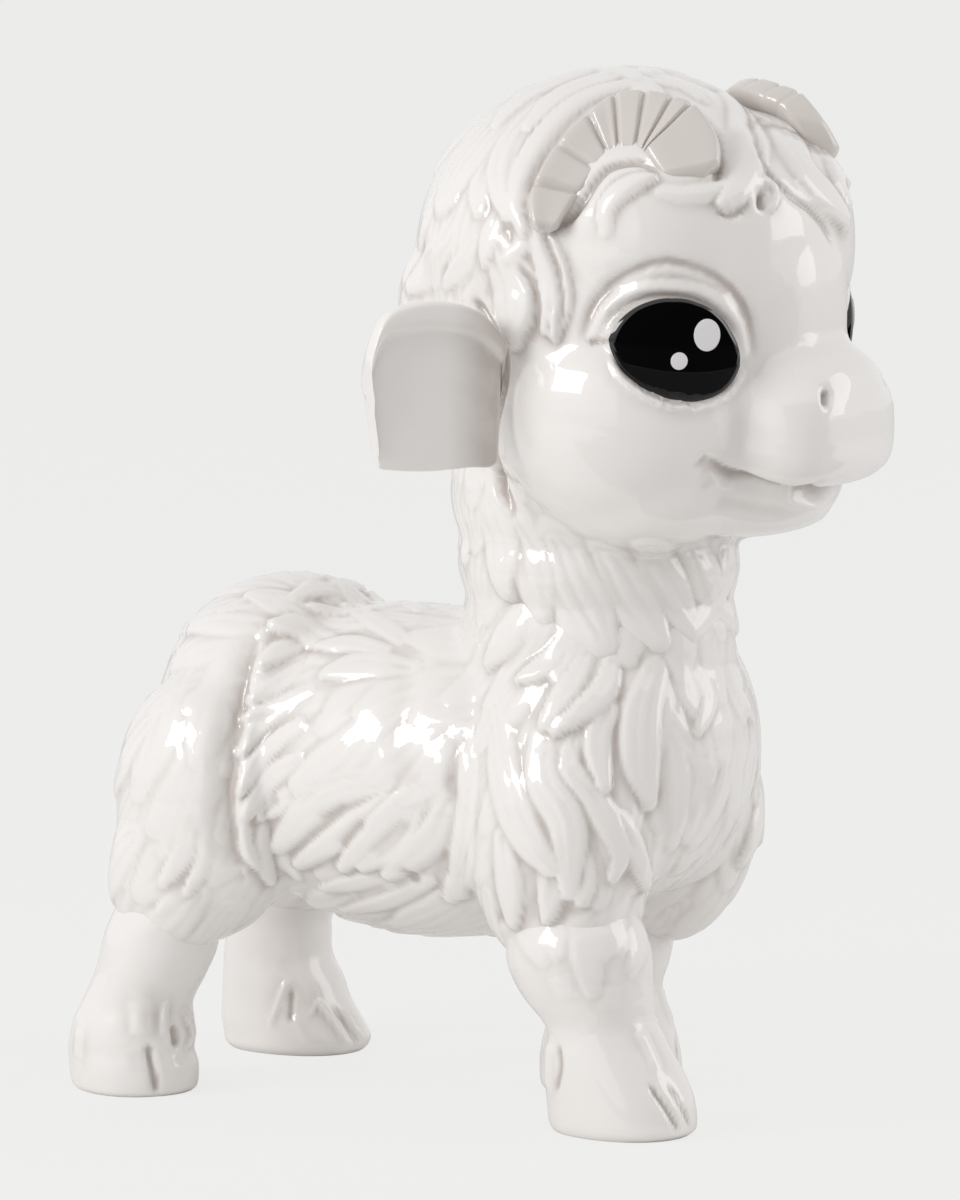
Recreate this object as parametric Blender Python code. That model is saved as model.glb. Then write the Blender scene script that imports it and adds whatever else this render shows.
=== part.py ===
"""Goat kid figurine: a glazed, slip-cast earthenware ornament that stands on four cloven hooves.

The real thing is cast in sections and luted together with slip while leather-hard. Each section is
an object of its own here. A luted piece sits in a seat cut to its own outline in the piece that
carries it, GAP wider all round. Front is -Y, the kid's right side is -X, and the floor is z = 0.
"""

import math

import bmesh
import bpy
from mathutils import Matrix, Vector

# The cast wall and the slip line between two luted pieces.
WALL = 0.0050
GAP = 0.0003

# From the middle of the whole figure, where the origin is, back to the middle of the barrel.
FORWARD = 0.0235

# Head: a round skull that the face, horns, ears and eyes are set out on.
SKULL_CENTRE = Vector((0, FORWARD - 0.070, 0.2510))
SKULL_RADIUS = 0.0680
SKULL_RADII = Vector((0.0630, 0.0670, 0.0670))
HEAD_WALL = 0.0100
CROWN_OFFSET = Vector((0, 0.0050, 0.0190))
CROWN_RADII = Vector((0.0620, 0.0620, 0.0580))
FOREHEAD_OFFSET = Vector((0, -0.0235, 0.0230))
FOREHEAD_RADII = Vector((0.0500, 0.0460, 0.0380))
BROW_OFFSET = Vector((0.0250, -0.0225, 0.0280))
BROW_RADII = Vector((0.0360, 0.0370, 0.0350))
CHEEK_OFFSET = Vector((0.0330, -0.0155, -0.0270))
CHEEK_RADII = Vector((0.0350, 0.0420, 0.0380))
JOWL_OFFSET = Vector((0.0260, -0.0195, -0.0450))
JOWL_RADII = Vector((0.0310, 0.0380, 0.0260))
BRIDGE_OFFSET = Vector((0, -0.0375, 0.0050))
BRIDGE_RADII = Vector((0.0310, 0.0340, 0.0390))
NOSE_OFFSET = Vector((0, -0.0525, -0.0160))
NOSE_RADII = Vector((0.0275, 0.0315, 0.0145))
MUZZLE_OFFSET = Vector((0, -0.0495, -0.0320))
MUZZLE_RADII = Vector((0.0325, 0.0369, 0.0195))
CHIN_OFFSET = Vector((0, -0.0355, -0.0510))
CHIN_RADII = Vector((0.0310, 0.0360, 0.0170))

# How square a ball of clay is: 2 is round, and the nose and the muzzle are nearly boxes.
ROUND = 2.0
FULL = 2.6
BOXY = 3.8

# Neck: the head's sleeve stands on a flat seat of the torso, round a hollow locating stub.
SEAT_HEIGHT = 0.1575
NECK_Y = FORWARD - 0.058
NECK_RADII = Vector((0.0405, 0.0440, 0.0440))
RUFF_RISE = 0.0380
RUFF_RADII = Vector((0.0430, 0.0480, 0.0340))
STUB_RADIUS = 0.0240
STUB_RISE = 0.0120
BORE_RADIUS = 0.0180
TRIM_MARGIN = 1.4

# Horns: a flat curl on each side of the crown, with ribs across it.
HORN_AZIMUTH = 57.0
HORN_ELEVATION = 47.0
HORN_LEAN = 28.0
HORN_CURL_RADIUS = 0.0205
HORN_LIFT = 0.0035
HORN_HALF_WIDTH = 0.0095
HORN_HALF_DEPTH = 0.0075
HORN_TIP_SHARE = 0.50
HORN_START = -10.0
HORN_SWEEP = 212.0
HORN_RIBS = 9
HORN_RIB_DEPTH = 0.0012

# Ears: a broad hanging flap, cupped towards the front, on a tenon in the side of the head.
EAR_AZIMUTH = 94.0
EAR_ELEVATION = -7.0
EAR_SWEEP_BACK = 38.0
EAR_TENON = 0.0070
EAR_LENGTH = 0.0440
EAR_HALF_HEIGHT = 0.0240
EAR_DROOP = 0.0090
EAR_HALF_THICKNESS = 0.0035
EAR_CUP = 0.0060

# Eyes: an almond of black glaze in a recess of its own outline.
EYE_AZIMUTH = 47.0
EYE_ELEVATION = -4.0
EYE_HALF_LENGTH = 0.0205
EYE_HALF_HEIGHT = 0.0160
EYE_TILT = 12.0
EYE_PINCH = 0.30
EYE_SINK = 0.0064
EYE_DOME_RADIUS = 0.0550

# Catchlights: place on the eye from its middle, towards the nose and up, and the two half-widths.
CATCHLIGHT_THICKNESS = 0.0006
CATCHLIGHTS = {
    "large": (Vector((0.0105, 0.0036)), Vector((0.0044, 0.0050))),
    "small": (Vector((0.0010, -0.0034)), Vector((0.0026, 0.0027))),
}

# Torso: barrel, chest and rump, with a shoulder and a thigh on each side.
BARREL_CENTRE = Vector((0, FORWARD - 0.002, 0.1035))
BARREL_RADII = Vector((0.0520, 0.0920, 0.0520))
CHEST_CENTRE = Vector((0, FORWARD - 0.064, 0.1160))
CHEST_RADII = Vector((0.0500, 0.0445, 0.0500))
RUMP_CENTRE = Vector((0, FORWARD + 0.057, 0.1160))
RUMP_RADII = Vector((0.0490, 0.0400, 0.0455))
SHOULDER_CENTRE = Vector((0.0320, FORWARD - 0.064, 0.0920))
SHOULDER_RADII = Vector((0.0245, 0.0310, 0.0420))
THIGH_CENTRE = Vector((0.0370, FORWARD + 0.0650, 0.0920))
THIGH_RADII = Vector((0.0255, 0.0318, 0.0428))
VENT_RADIUS = 0.0045

# Wool: rows of locks on a ball of clay. Each row has its elevation, the azimuths of its first and
# last lock and how many there are on a side, how far the tips lean to the rear, and the lock's
# half-width and half-length. Each lock lies in the ball with its middle under the surface.
LOCK_HALF_DEPTH = 0.0085
LOCK_SINK = 0.0050
CHEST_WOOL = (
    (30.0, 12.0, 96.0, 4, 0.0, 0.0090, 0.0175),
    (-2.0, 26.0, 82.0, 3, 0.0, 0.0090, 0.0190),
    (-32.0, 12.0, 62.0, 3, 0.0, 0.0085, 0.0170),
)
SHOULDER_WOOL = (
    (18.0, 70.0, 120.0, 3, 15.0, 0.0075, 0.0180),
    (-28.0, 60.0, 130.0, 4, 10.0, 0.0075, 0.0150),
)
BARREL_WOOL = (
    (12.0, 84.0, 98.0, 2, 55.0, 0.0085, 0.0190),
    (-16.0, 82.0, 104.0, 3, 50.0, 0.0085, 0.0190),
    (-44.0, 78.0, 106.0, 4, 50.0, 0.0080, 0.0170),
    (50.0, 92.0, 114.0, 3, 75.0, 0.0075, 0.0180),
)
THIGH_WOOL = (
    (22.0, 80.0, 130.0, 3, 15.0, 0.0085, 0.0190),
    (-26.0, 66.0, 156.0, 5, 10.0, 0.0080, 0.0170),
)
RUMP_WOOL = (
    (40.0, 125.0, 170.0, 3, 0.0, 0.0085, 0.0180),
    (5.0, 140.0, 165.0, 2, 0.0, 0.0085, 0.0180),
)
CROWN_WOOL = (
    (46.0, 108.0, 168.0, 4, 0.0, 0.0095, 0.0210),
    (14.0, 112.0, 168.0, 4, 0.0, 0.0100, 0.0220),
    (-18.0, 118.0, 166.0, 3, 0.0, 0.0100, 0.0210),
    (55.0, 20.0, 68.0, 2, 0.0, 0.0090, 0.0190),
    (44.0, 12.0, 12.0, 1, 0.0, 0.0080, 0.0190),
)
RUFF_WOOL = ((20.0, 14.0, 166.0, 7, 0.0, 0.0072, 0.0150),)

# Legs: a spigot at the top of each stands in a socket of the torso. Foot, top of the leg, and how
# far the toes turn out.
LEG_TOP = 0.0540
LEG_RADIUS = 0.0200
LEG_SPIGOT_RADIUS = 0.0110
LEG_SPIGOT_LENGTH = 0.0090
CUFF_MARGIN = 0.0030
CUFF_HALF_HEIGHT = 0.0280
CUFF_RISE = 0.0180
PASTERN_RADIUS = 0.0173
PASTERN_HEIGHT = 0.0330
HOOF_HALF_WIDTH = 0.0193
HOOF_HALF_LENGTH = 0.0240
HOOF_HEIGHT = 0.0160
HOOF_BEVEL = 0.0015
CLEFT_HALF_WIDTH = 0.0022
CLEFT_DEPTH = 0.0090
LEGS = {
    "foreleg_right": (-0.0300, FORWARD - 0.0850, -0.0330, FORWARD - 0.0720, 8.0),
    "foreleg_left": (0.0300, FORWARD - 0.0450, 0.0330, FORWARD - 0.0440, 8.0),
    "hind_leg_right": (-0.0450, FORWARD + 0.0872, -0.0430, FORWARD + 0.0750, 30.0),
    "hind_leg_left": (0.0450, FORWARD + 0.0840, 0.0430, FORWARD + 0.0868, 0.0),
}

# Tail: a short tuft luted to the back of the rump.
TAIL_ELEVATION = -6.0
TAIL_CURVE = (
    (-0.0060, 0.0000, 0.0068),
    (0.0020, 0.0010, 0.0072),
    (0.0060, -0.0050, 0.0066),
    (0.0070, -0.0120, 0.0052),
)
TAIL_TIP = (0.0072, -0.0180, 0.0028)

# Facets: points round a piece, and the grain and smoothing of the pressed clay.
SIDES = 22
GRAIN = 0.0058
SMOOTHING = 2
HOLLOW_GRAIN = 0.0120
HOLLOW_SMOOTHING = 2

X_AXIS = Vector((1, 0, 0))
Y_AXIS = Vector((0, 1, 0))
Z_AXIS = Vector((0, 0, 1))

for leftover in list(bpy.data.objects):
    bpy.data.objects.remove(leftover, do_unlink=True)


def glaze(name, colour, roughness):
    """A fired glaze as a Principled BSDF."""
    material = bpy.data.materials.new(name)
    material.use_nodes = True
    shader = material.node_tree.nodes["Principled BSDF"]
    shader.inputs["Base Color"].default_value = (*colour, 1)
    shader.inputs["Roughness"].default_value = roughness
    shader.inputs["Metallic"].default_value = 0
    return material


def mesh_object(name, bm, material=None):
    """Links a mesh to the scene as one object with its faces outwards."""
    bmesh.ops.recalc_face_normals(bm, faces=bm.faces)
    mesh = bpy.data.meshes.new(name)
    bm.to_mesh(mesh)
    bm.free()
    obj = bpy.data.objects.new(name, mesh)
    bpy.context.scene.collection.objects.link(obj)
    if material:
        mesh.materials.append(material)
    return obj


def cut(obj, cutter):
    """Cuts a helper out of an object. The helper stays in the file as a hidden wire."""
    boolean = obj.modifiers.new(cutter.name, "BOOLEAN")
    boolean.operation = "DIFFERENCE"
    boolean.solver = "EXACT"
    boolean.object = cutter
    cutter.hide_render = True
    cutter.display_type = "WIRE"


def shade(obj, angle=38.0):
    """Smooth shading, with the edges sharper than the angle kept."""
    obj.data.shade_smooth()
    obj.data.set_sharp_from_angle(angle=math.radians(angle))


def pair(vector):
    """A place on the kid's right, and its mirror image on the left."""
    return [Vector((-vector.x, vector.y, vector.z)), Vector(vector)]


def wool(centre, radii, rows, sides=(-1, 1)):
    """Locks laid in rows on a ball of clay, each a stretched ball as (middle, turned axes)."""
    locks = []
    for elevation, first, last, count, lean, half_width, half_length in rows:
        for i in range(count):
            azimuth = first + (last - first) * i / max(count - 1, 1)
            for side in sides:
                outward = direction(azimuth, elevation, side)
                normal = Vector(o / r for o, r in zip(outward, radii)).normalized()
                down = (normal * normal.z - Z_AXIS).normalized()
                rearward = (Y_AXIS - normal * normal.y - down * Y_AXIS.dot(down)).normalized()
                tilt = math.radians(lean)
                along = down * math.cos(tilt) + rearward * math.sin(tilt)
                across = normal.cross(along)
                axes = Matrix((across * half_width, along * half_length, normal * LOCK_HALF_DEPTH))
                middle = centre + Vector(o * r for o, r in zip(outward, radii)) - normal * LOCK_SINK
                locks.append((middle, axes.transposed()))
    return locks


def pressed(name, balls, grain, smoothing, material=None, locks=()):
    """Balls of clay, each with its squareness, and locks of wool pressed into one form and smoothed."""
    bm = bmesh.new()
    for centre, radii, square in balls:
        ball = bmesh.ops.create_icosphere(bm, subdivisions=4, radius=1)
        for point in ball["verts"]:
            size = sum(abs(c) ** square for c in point.co) ** (1 / square)
            point.co = centre + Vector(c / size * r for c, r in zip(point.co, radii))
    for middle, axes in locks:
        place = Matrix.Translation(middle) @ axes.to_4x4()
        bmesh.ops.create_icosphere(bm, subdivisions=3, radius=1, matrix=place)
    obj = mesh_object(name, bm, material)
    remesh = obj.modifiers.new("Press", "REMESH")
    remesh.mode = "VOXEL"
    remesh.voxel_size = grain
    remesh.use_smooth_shade = True
    smooth = obj.modifiers.new("Smooth", "SMOOTH")
    smooth.factor = 0.5
    smooth.iterations = smoothing
    return obj


def loft(name, rings, material=None):
    """A closed skin over rings with the same number of points, with a cap at each end."""
    bm = bmesh.new()
    rows = [[bm.verts.new(point) for point in ring] for ring in rings]
    for low, high in zip(rows, rows[1:]):
        for i, corner in enumerate(low):
            j = (i + 1) % len(low)
            bm.faces.new((corner, low[j], high[j], high[i]))
    bm.faces.new(list(reversed(rows[0])))
    bm.faces.new(rows[-1])
    return mesh_object(name, bm, material)


def ellipse(centre, along, up, half_along, half_up, sides=SIDES):
    """Points round a centre."""
    turns = [2 * math.pi * i / sides for i in range(sides)]
    return [centre + along * (half_along * math.cos(t)) + up * (half_up * math.sin(t)) for t in turns]


def level_ring(x, y, z, radius_x, radius_y):
    """A level ellipse."""
    return ellipse(Vector((x, y, z)), X_AXIS, Y_AXIS, radius_x, radius_y)


def post(name, x, y, low, high, radius_x, radius_y):
    """An upright round post, as a cutter."""
    return loft(name, [level_ring(x, y, low, radius_x, radius_y), level_ring(x, y, high, radius_x, radius_y)])


def direction(azimuth, elevation, side):
    """A unit vector out of the skull. Azimuth 0 is the front and 90 is the side asked for."""
    a = math.radians(azimuth)
    e = math.radians(elevation)
    return Vector((side * math.sin(a) * math.cos(e), -math.cos(a) * math.cos(e), math.sin(e)))


def frame_at(outward):
    """Unit vectors along a surface that faces outwards: towards the kid's front, and up."""
    up = (Z_AXIS - outward * outward.z).normalized()
    forward = up.cross(outward).normalized()
    if forward.y > 0:
        forward = -forward
    return forward, up


def horn(name, side, grow, material=None):
    """A ribbed curl. With grow above zero it has no ribs and is the seat that the curl lies in."""
    outward = direction(HORN_AZIMUTH, HORN_LEAN, side)
    forward, up = frame_at(outward)
    middle = SKULL_CENTRE + direction(HORN_AZIMUTH, HORN_ELEVATION, side) * (SKULL_RADIUS + HORN_LIFT)
    steps = HORN_RIBS * 2
    spread = math.degrees(grow / HORN_CURL_RADIUS)
    rings = []
    for step in range(steps + 1):
        share = step / steps
        turn = math.radians(HORN_START - spread + (HORN_SWEEP + 2 * spread) * share)
        arm = forward * math.cos(turn) + up * math.sin(turn)
        taper = 1 - (1 - HORN_TIP_SHARE) * share ** 1.5
        rib = 0 if grow or step % 2 else HORN_RIB_DEPTH
        half_width = HORN_HALF_WIDTH * taper - rib + grow
        half_depth = HORN_HALF_DEPTH * taper - rib + grow
        rings.append(ellipse(middle + arm * HORN_CURL_RADIUS, arm, outward, half_width, half_depth, 16))
    return loft(name, rings, material)


def ear(name, side, grow, material=None):
    """The flap with its tenon. With grow above zero it is the mortise that the tenon sits in."""
    sweep = math.radians(EAR_SWEEP_BACK)
    along = Vector((side * math.cos(sweep), math.sin(sweep), 0))
    front = Vector((side * math.sin(sweep), -math.cos(sweep), 0))
    root = SKULL_CENTRE + direction(EAR_AZIMUTH, EAR_ELEVATION, side) * SKULL_RADIUS
    # Reach from the root, share of the height, share of the droop, and share of the cup.
    profile = (
        (-EAR_TENON - grow, 0.42, 0.0, 0.0),
        (0.0000, 0.42, 0.0, 0.0),
        (0.0035, 0.52, 0.1, 0.1),
        (0.0090, 0.82, 0.6, 0.3),
        (0.0160, 0.97, 0.9, 0.6),
        (0.0260, 1.00, 1.0, 0.9),
        (0.0360, 0.98, 1.0, 1.0),
        (0.0415, 0.93, 1.0, 1.0),
        (EAR_LENGTH + grow, 0.86, 1.0, 1.0),
    )
    rings = []
    for reach, height, droop, cup in profile:
        ring = []
        for i in range(SIDES):
            t = 2 * math.pi * i / SIDES
            rise = math.sin(t)
            lift = (EAR_HALF_HEIGHT * height + grow) * math.copysign(abs(rise) ** 0.8, rise)
            depth = (EAR_HALF_THICKNESS + grow) * math.copysign(abs(math.cos(t)) ** 0.8, math.cos(t))
            depth += EAR_CUP * cup * (rise * rise - 0.5)
            ring.append(root + along * reach + Z_AXIS * (lift - EAR_DROOP * droop) + front * depth)
        rings.append(ring)
    return loft(name, rings, material)


def eye_place(side):
    """The pole of the eye's dome on the skull, and the eye's axes: out, to the nose and up."""
    outward = direction(EYE_AZIMUTH, EYE_ELEVATION, side)
    forward, up = frame_at(outward)
    tilt = math.radians(EYE_TILT)
    nose = forward * math.cos(tilt) - up * math.sin(tilt)
    brow = up * math.cos(tilt) + forward * math.sin(tilt)
    return SKULL_CENTRE + outward * SKULL_RADIUS, outward, nose, brow


def dome_drop(u, v):
    """How far the dome has fallen away from its pole at a place on the eye."""
    return EYE_DOME_RADIUS - math.sqrt(EYE_DOME_RADIUS ** 2 - u * u - v * v)


def almond(share, grow):
    """The outline of the eye as (to the nose, up) pairs, pinched at the outer corner."""
    points = []
    for i in range(SIDES):
        t = 2 * math.pi * i / SIDES
        pinch = 1 - EYE_PINCH * max(0.0, -math.cos(t)) ** 3
        u = (EYE_HALF_LENGTH * share + grow) * math.cos(t)
        v = (EYE_HALF_HEIGHT * share + grow) * math.sin(t) * pinch
        points.append((u, v))
    return points


def eye(name, side, material):
    """A lens of black glaze: a flat back, an upright rim and a dome."""
    pole, outward, nose, brow = eye_place(side)
    rings = [[pole + nose * u + brow * v - outward * EYE_SINK for u, v in almond(1, 0)]]
    for share in (1.0, 0.86, 0.68, 0.48, 0.28, 0.10):
        rings.append([pole + nose * u + brow * v - outward * dome_drop(u, v) for u, v in almond(share, 0)])
    return loft(name, rings, material)


def eye_recess(name, side):
    """The eye's outline cut into the head, with a flat bottom."""
    pole, outward, nose, brow = eye_place(side)
    depths = (-EYE_SINK - GAP, SKULL_RADIUS / 3)
    return loft(name, [[pole + nose * u + brow * v + outward * d for u, v in almond(1, GAP)] for d in depths])


def catchlight(name, side, place, half, material):
    """A dot of white enamel that follows the dome of the eye."""
    pole, outward, nose, brow = eye_place(side)
    rings = []
    for share, lift in ((0.5, 0), (1.0, 0), (1.0, 0.6), (0.7, 1.0), (0.3, 1.0)):
        ring = []
        for i in range(SIDES):
            t = 2 * math.pi * i / SIDES
            u = place.x + half.x * share * math.cos(t)
            v = place.y + half.y * share * math.sin(t)
            height = 0.0001 + CATCHLIGHT_THICKNESS * lift - dome_drop(u, v)
            ring.append(pole + nose * u + brow * v + outward * height)
        rings.append(ring)
    return loft(name, rings, material)


def leg(name, foot_x, foot_y, top_x, top_y, toe_turn, material):
    """A leg with a hoof below and a spigot above a shoulder that the torso rests on."""
    turn = math.radians(toe_turn)
    toe = Vector((math.copysign(math.sin(turn), foot_x), -math.cos(turn), 0))
    across = Z_AXIS.cross(toe)
    # Height, then half the width and half the length, with the toes to the front.
    profile = (
        (0, HOOF_HALF_WIDTH - HOOF_BEVEL, HOOF_HALF_LENGTH - HOOF_BEVEL),
        (HOOF_BEVEL, HOOF_HALF_WIDTH, HOOF_HALF_LENGTH),
        (HOOF_HEIGHT * 0.7, HOOF_HALF_WIDTH, HOOF_HALF_LENGTH * 0.99),
        (HOOF_HEIGHT * 1.15, HOOF_HALF_WIDTH * 0.97, HOOF_HALF_LENGTH * 0.92),
        ((HOOF_HEIGHT + PASTERN_HEIGHT) / 2, HOOF_HALF_WIDTH * 0.93, HOOF_HALF_LENGTH * 0.83),
        (PASTERN_HEIGHT, PASTERN_RADIUS, PASTERN_RADIUS),
        (PASTERN_HEIGHT * 0.5 + LEG_TOP * 0.5, (PASTERN_RADIUS + LEG_RADIUS) / 2, LEG_RADIUS),
        (LEG_TOP - GAP, LEG_RADIUS, LEG_RADIUS),
    )
    rings = []
    for z, half_width, half_length in profile:
        share = (z / LEG_TOP) ** 2
        middle = Vector((foot_x + (top_x - foot_x) * share, foot_y + (top_y - foot_y) * share, z))
        rings.append(ellipse(middle, across, toe, half_width, half_length))
    top = Vector((top_x, top_y, 0))
    for z in (LEG_TOP - GAP, LEG_TOP + LEG_SPIGOT_LENGTH):
        rings.append(ellipse(top + Z_AXIS * z, across, toe, LEG_SPIGOT_RADIUS, LEG_SPIGOT_RADIUS))
    obj = loft(name, rings, material)
    front = Vector((foot_x, foot_y, 0)) + toe * (HOOF_HALF_LENGTH * 1.1)
    wedge = []
    for z in (-0.005, HOOF_HEIGHT):
        corners = (
            (-CLEFT_HALF_WIDTH, 0),
            (CLEFT_HALF_WIDTH, 0),
            (CLEFT_HALF_WIDTH * 0.5, CLEFT_DEPTH),
            (-CLEFT_HALF_WIDTH * 0.5, CLEFT_DEPTH),
        )
        wedge.append([front + across * x - toe * y + Z_AXIS * z for x, y in corners])
    cut(obj, loft(name + "_cleft", wedge))
    return obj


def tail(name, grow, material=None):
    """A short tuft that leaves the rump and hangs. With grow above zero it is its own seat."""
    a = math.radians(TAIL_ELEVATION)
    outward = Vector((0, math.cos(a), math.sin(a)))
    root = RUMP_CENTRE + Vector((0, outward.y * RUMP_RADII.y, outward.z * RUMP_RADII.z))
    spine = [*TAIL_CURVE, TAIL_TIP]
    rings = []
    for i, (reach, rise, radius) in enumerate(spine):
        before = spine[max(i - 1, 0)]
        after = spine[min(i + 1, len(spine) - 1)]
        run = Vector((0, after[0] - before[0], after[1] - before[1])).normalized()
        across = X_AXIS.cross(run)
        centre = root + Vector((0, reach, rise))
        if i == 0:
            centre = centre - run * grow
        rings.append(ellipse(centre, X_AXIS, across, radius + grow, radius + grow, 16))
    return loft(name, rings, material)


def shell(balls, wall):
    """The balls of a form, smaller by the wall."""
    return [(centre, radii - Vector((wall, wall, wall)), square) for centre, radii, square in balls]


WHITE = glaze("white glaze", (0.84, 0.83, 0.81), 0.08)
HORN_WHITE = glaze("thin glaze on the horns", (0.70, 0.66, 0.62), 0.15)
BLACK = glaze("black glaze", (0.006, 0.006, 0.007), 0.05)
ENAMEL = glaze("white enamel", (0.66, 0.65, 0.66), 0.20)

# The torso.
neck_ball = (Vector((0, NECK_Y, SEAT_HEIGHT)), NECK_RADII, ROUND)
trunk_balls = [
    (BARREL_CENTRE, BARREL_RADII, ROUND),
    (CHEST_CENTRE, CHEST_RADII, ROUND),
    (RUMP_CENTRE, RUMP_RADII, ROUND),
]
limb_balls = [(place, SHOULDER_RADII, ROUND) for place in pair(SHOULDER_CENTRE)]
limb_balls += [(place, THIGH_RADII, ROUND) for place in pair(THIGH_CENTRE)]
cuff_radius = LEG_RADIUS + CUFF_MARGIN
cuff_radii = Vector((cuff_radius, cuff_radius, CUFF_HALF_HEIGHT))
cuff_places = [Vector((top_x, top_y, LEG_TOP + CUFF_RISE)) for _, _, top_x, top_y, _ in LEGS.values()]
cuff_balls = [(place, cuff_radii, BOXY) for place in cuff_places]
body_wool = wool(CHEST_CENTRE, CHEST_RADII, CHEST_WOOL)
body_wool += wool(BARREL_CENTRE, BARREL_RADII, BARREL_WOOL)
body_wool += wool(RUMP_CENTRE, RUMP_RADII, RUMP_WOOL)
for side, shoulder, thigh in zip((-1, 1), pair(SHOULDER_CENTRE), pair(THIGH_CENTRE)):
    body_wool += wool(shoulder, SHOULDER_RADII, SHOULDER_WOOL, (side,))
    body_wool += wool(thigh, THIGH_RADII, THIGH_WOOL, (side,))
body_balls = [neck_ball, *trunk_balls, *limb_balls, *cuff_balls]
torso = pressed("torso", body_balls, GRAIN, SMOOTHING, WHITE, body_wool)

# Everything above the seat is taken off, but for the stub that the head's sleeve fits over.
stub_top = SEAT_HEIGHT + STUB_RISE
trim = NECK_RADII * TRIM_MARGIN
neck_trim = [
    level_ring(0, NECK_Y, stub_top, STUB_RADIUS, STUB_RADIUS),
    level_ring(0, NECK_Y, SEAT_HEIGHT, STUB_RADIUS, STUB_RADIUS),
    level_ring(0, NECK_Y, SEAT_HEIGHT, trim.x, trim.y),
    level_ring(0, NECK_Y, SEAT_HEIGHT + trim.z, trim.x, trim.y),
]
cut(torso, loft("neck_trim", neck_trim))
cut(torso, pressed("torso_hollow", shell(trunk_balls, WALL), HOLLOW_GRAIN, HOLLOW_SMOOTHING))
cut(torso, post("neck_bore", 0, NECK_Y, CHEST_CENTRE.z, stub_top + STUB_RISE, BORE_RADIUS, BORE_RADIUS))
cut(torso, post("vent_hole", 0, BARREL_CENTRE.y, 0, BARREL_CENTRE.z, VENT_RADIUS, VENT_RADIUS))
socket_radius = LEG_SPIGOT_RADIUS + GAP
flat_radius = cuff_radius + CUFF_MARGIN
for leg_name, (foot_x, foot_y, top_x, top_y, toe_turn) in LEGS.items():
    cut(torso, post(leg_name + "_flat", top_x, top_y, 0, LEG_TOP, flat_radius, flat_radius))
    socket_top = LEG_TOP + LEG_SPIGOT_LENGTH + GAP
    cut(torso, post(leg_name + "_socket", top_x, top_y, 0, socket_top, socket_radius, socket_radius))
    shade(leg(leg_name, foot_x, foot_y, top_x, top_y, toe_turn, WHITE))
cut(torso, tail("tail_seat", GAP))
shade(tail("tail", 0, WHITE), 60)

# The head.
crown_centre = SKULL_CENTRE + CROWN_OFFSET
ruff_centre = Vector((0, NECK_Y, SEAT_HEIGHT + RUFF_RISE))
head_balls = [
    (SKULL_CENTRE, SKULL_RADII, ROUND),
    (crown_centre, CROWN_RADII, ROUND),
]
head_hollow_balls = shell(head_balls, HEAD_WALL)
head_balls += [(SKULL_CENTRE + place, CHEEK_RADII, ROUND) for place in pair(CHEEK_OFFSET)]
head_balls += [(SKULL_CENTRE + place, JOWL_RADII, ROUND) for place in pair(JOWL_OFFSET)]
head_balls += [(SKULL_CENTRE + place, BROW_RADII, ROUND) for place in pair(BROW_OFFSET)]
head_balls += [
    (SKULL_CENTRE + FOREHEAD_OFFSET, FOREHEAD_RADII, FULL),
    (SKULL_CENTRE + BRIDGE_OFFSET, BRIDGE_RADII, FULL),
    (SKULL_CENTRE + NOSE_OFFSET, NOSE_RADII, FULL),
    (SKULL_CENTRE + MUZZLE_OFFSET, MUZZLE_RADII, BOXY),
    (SKULL_CENTRE + CHIN_OFFSET, CHIN_RADII, FULL),
    (ruff_centre, RUFF_RADII, ROUND),
    neck_ball,
]
hair = wool(crown_centre, CROWN_RADII, CROWN_WOOL)
hair += wool(neck_ball[0], NECK_RADII, RUFF_WOOL)
head = pressed("head", head_balls, GRAIN, SMOOTHING, WHITE, hair)
cut(head, post("neck_end", 0, NECK_Y, SEAT_HEIGHT - trim.z, SEAT_HEIGHT + GAP, trim.x, trim.y))
cut(head, pressed("head_hollow", head_hollow_balls, HOLLOW_GRAIN, HOLLOW_SMOOTHING))
sleeve = STUB_RADIUS + GAP
sleeve_top = SKULL_CENTRE.z - SKULL_RADIUS / 2
cut(head, post("neck_sleeve", 0, NECK_Y, SEAT_HEIGHT - STUB_RISE, sleeve_top, sleeve, sleeve))

for side, hand in ((-1, "right"), (1, "left")):
    cut(head, horn("horn_seat_" + hand, side, GAP))
    cut(head, ear("ear_mortise_" + hand, side, GAP))
    cut(head, eye_recess("eye_recess_" + hand, side))
    shade(horn("horn_" + hand, side, 0, HORN_WHITE), 20)
    shade(ear("ear_" + hand, side, 0, WHITE))
    shade(eye("eye_" + hand, side, BLACK))
    for size, (place, half) in CATCHLIGHTS.items():
        shade(catchlight(f"catchlight_{size}_{hand}", side, place, half, ENAMEL))
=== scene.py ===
import math
import random

import bpy
import numpy as np
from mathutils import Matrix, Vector
from mathutils.bvhtree import BVHTree
from mathutils.geometry import interpolate_bezier


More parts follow.
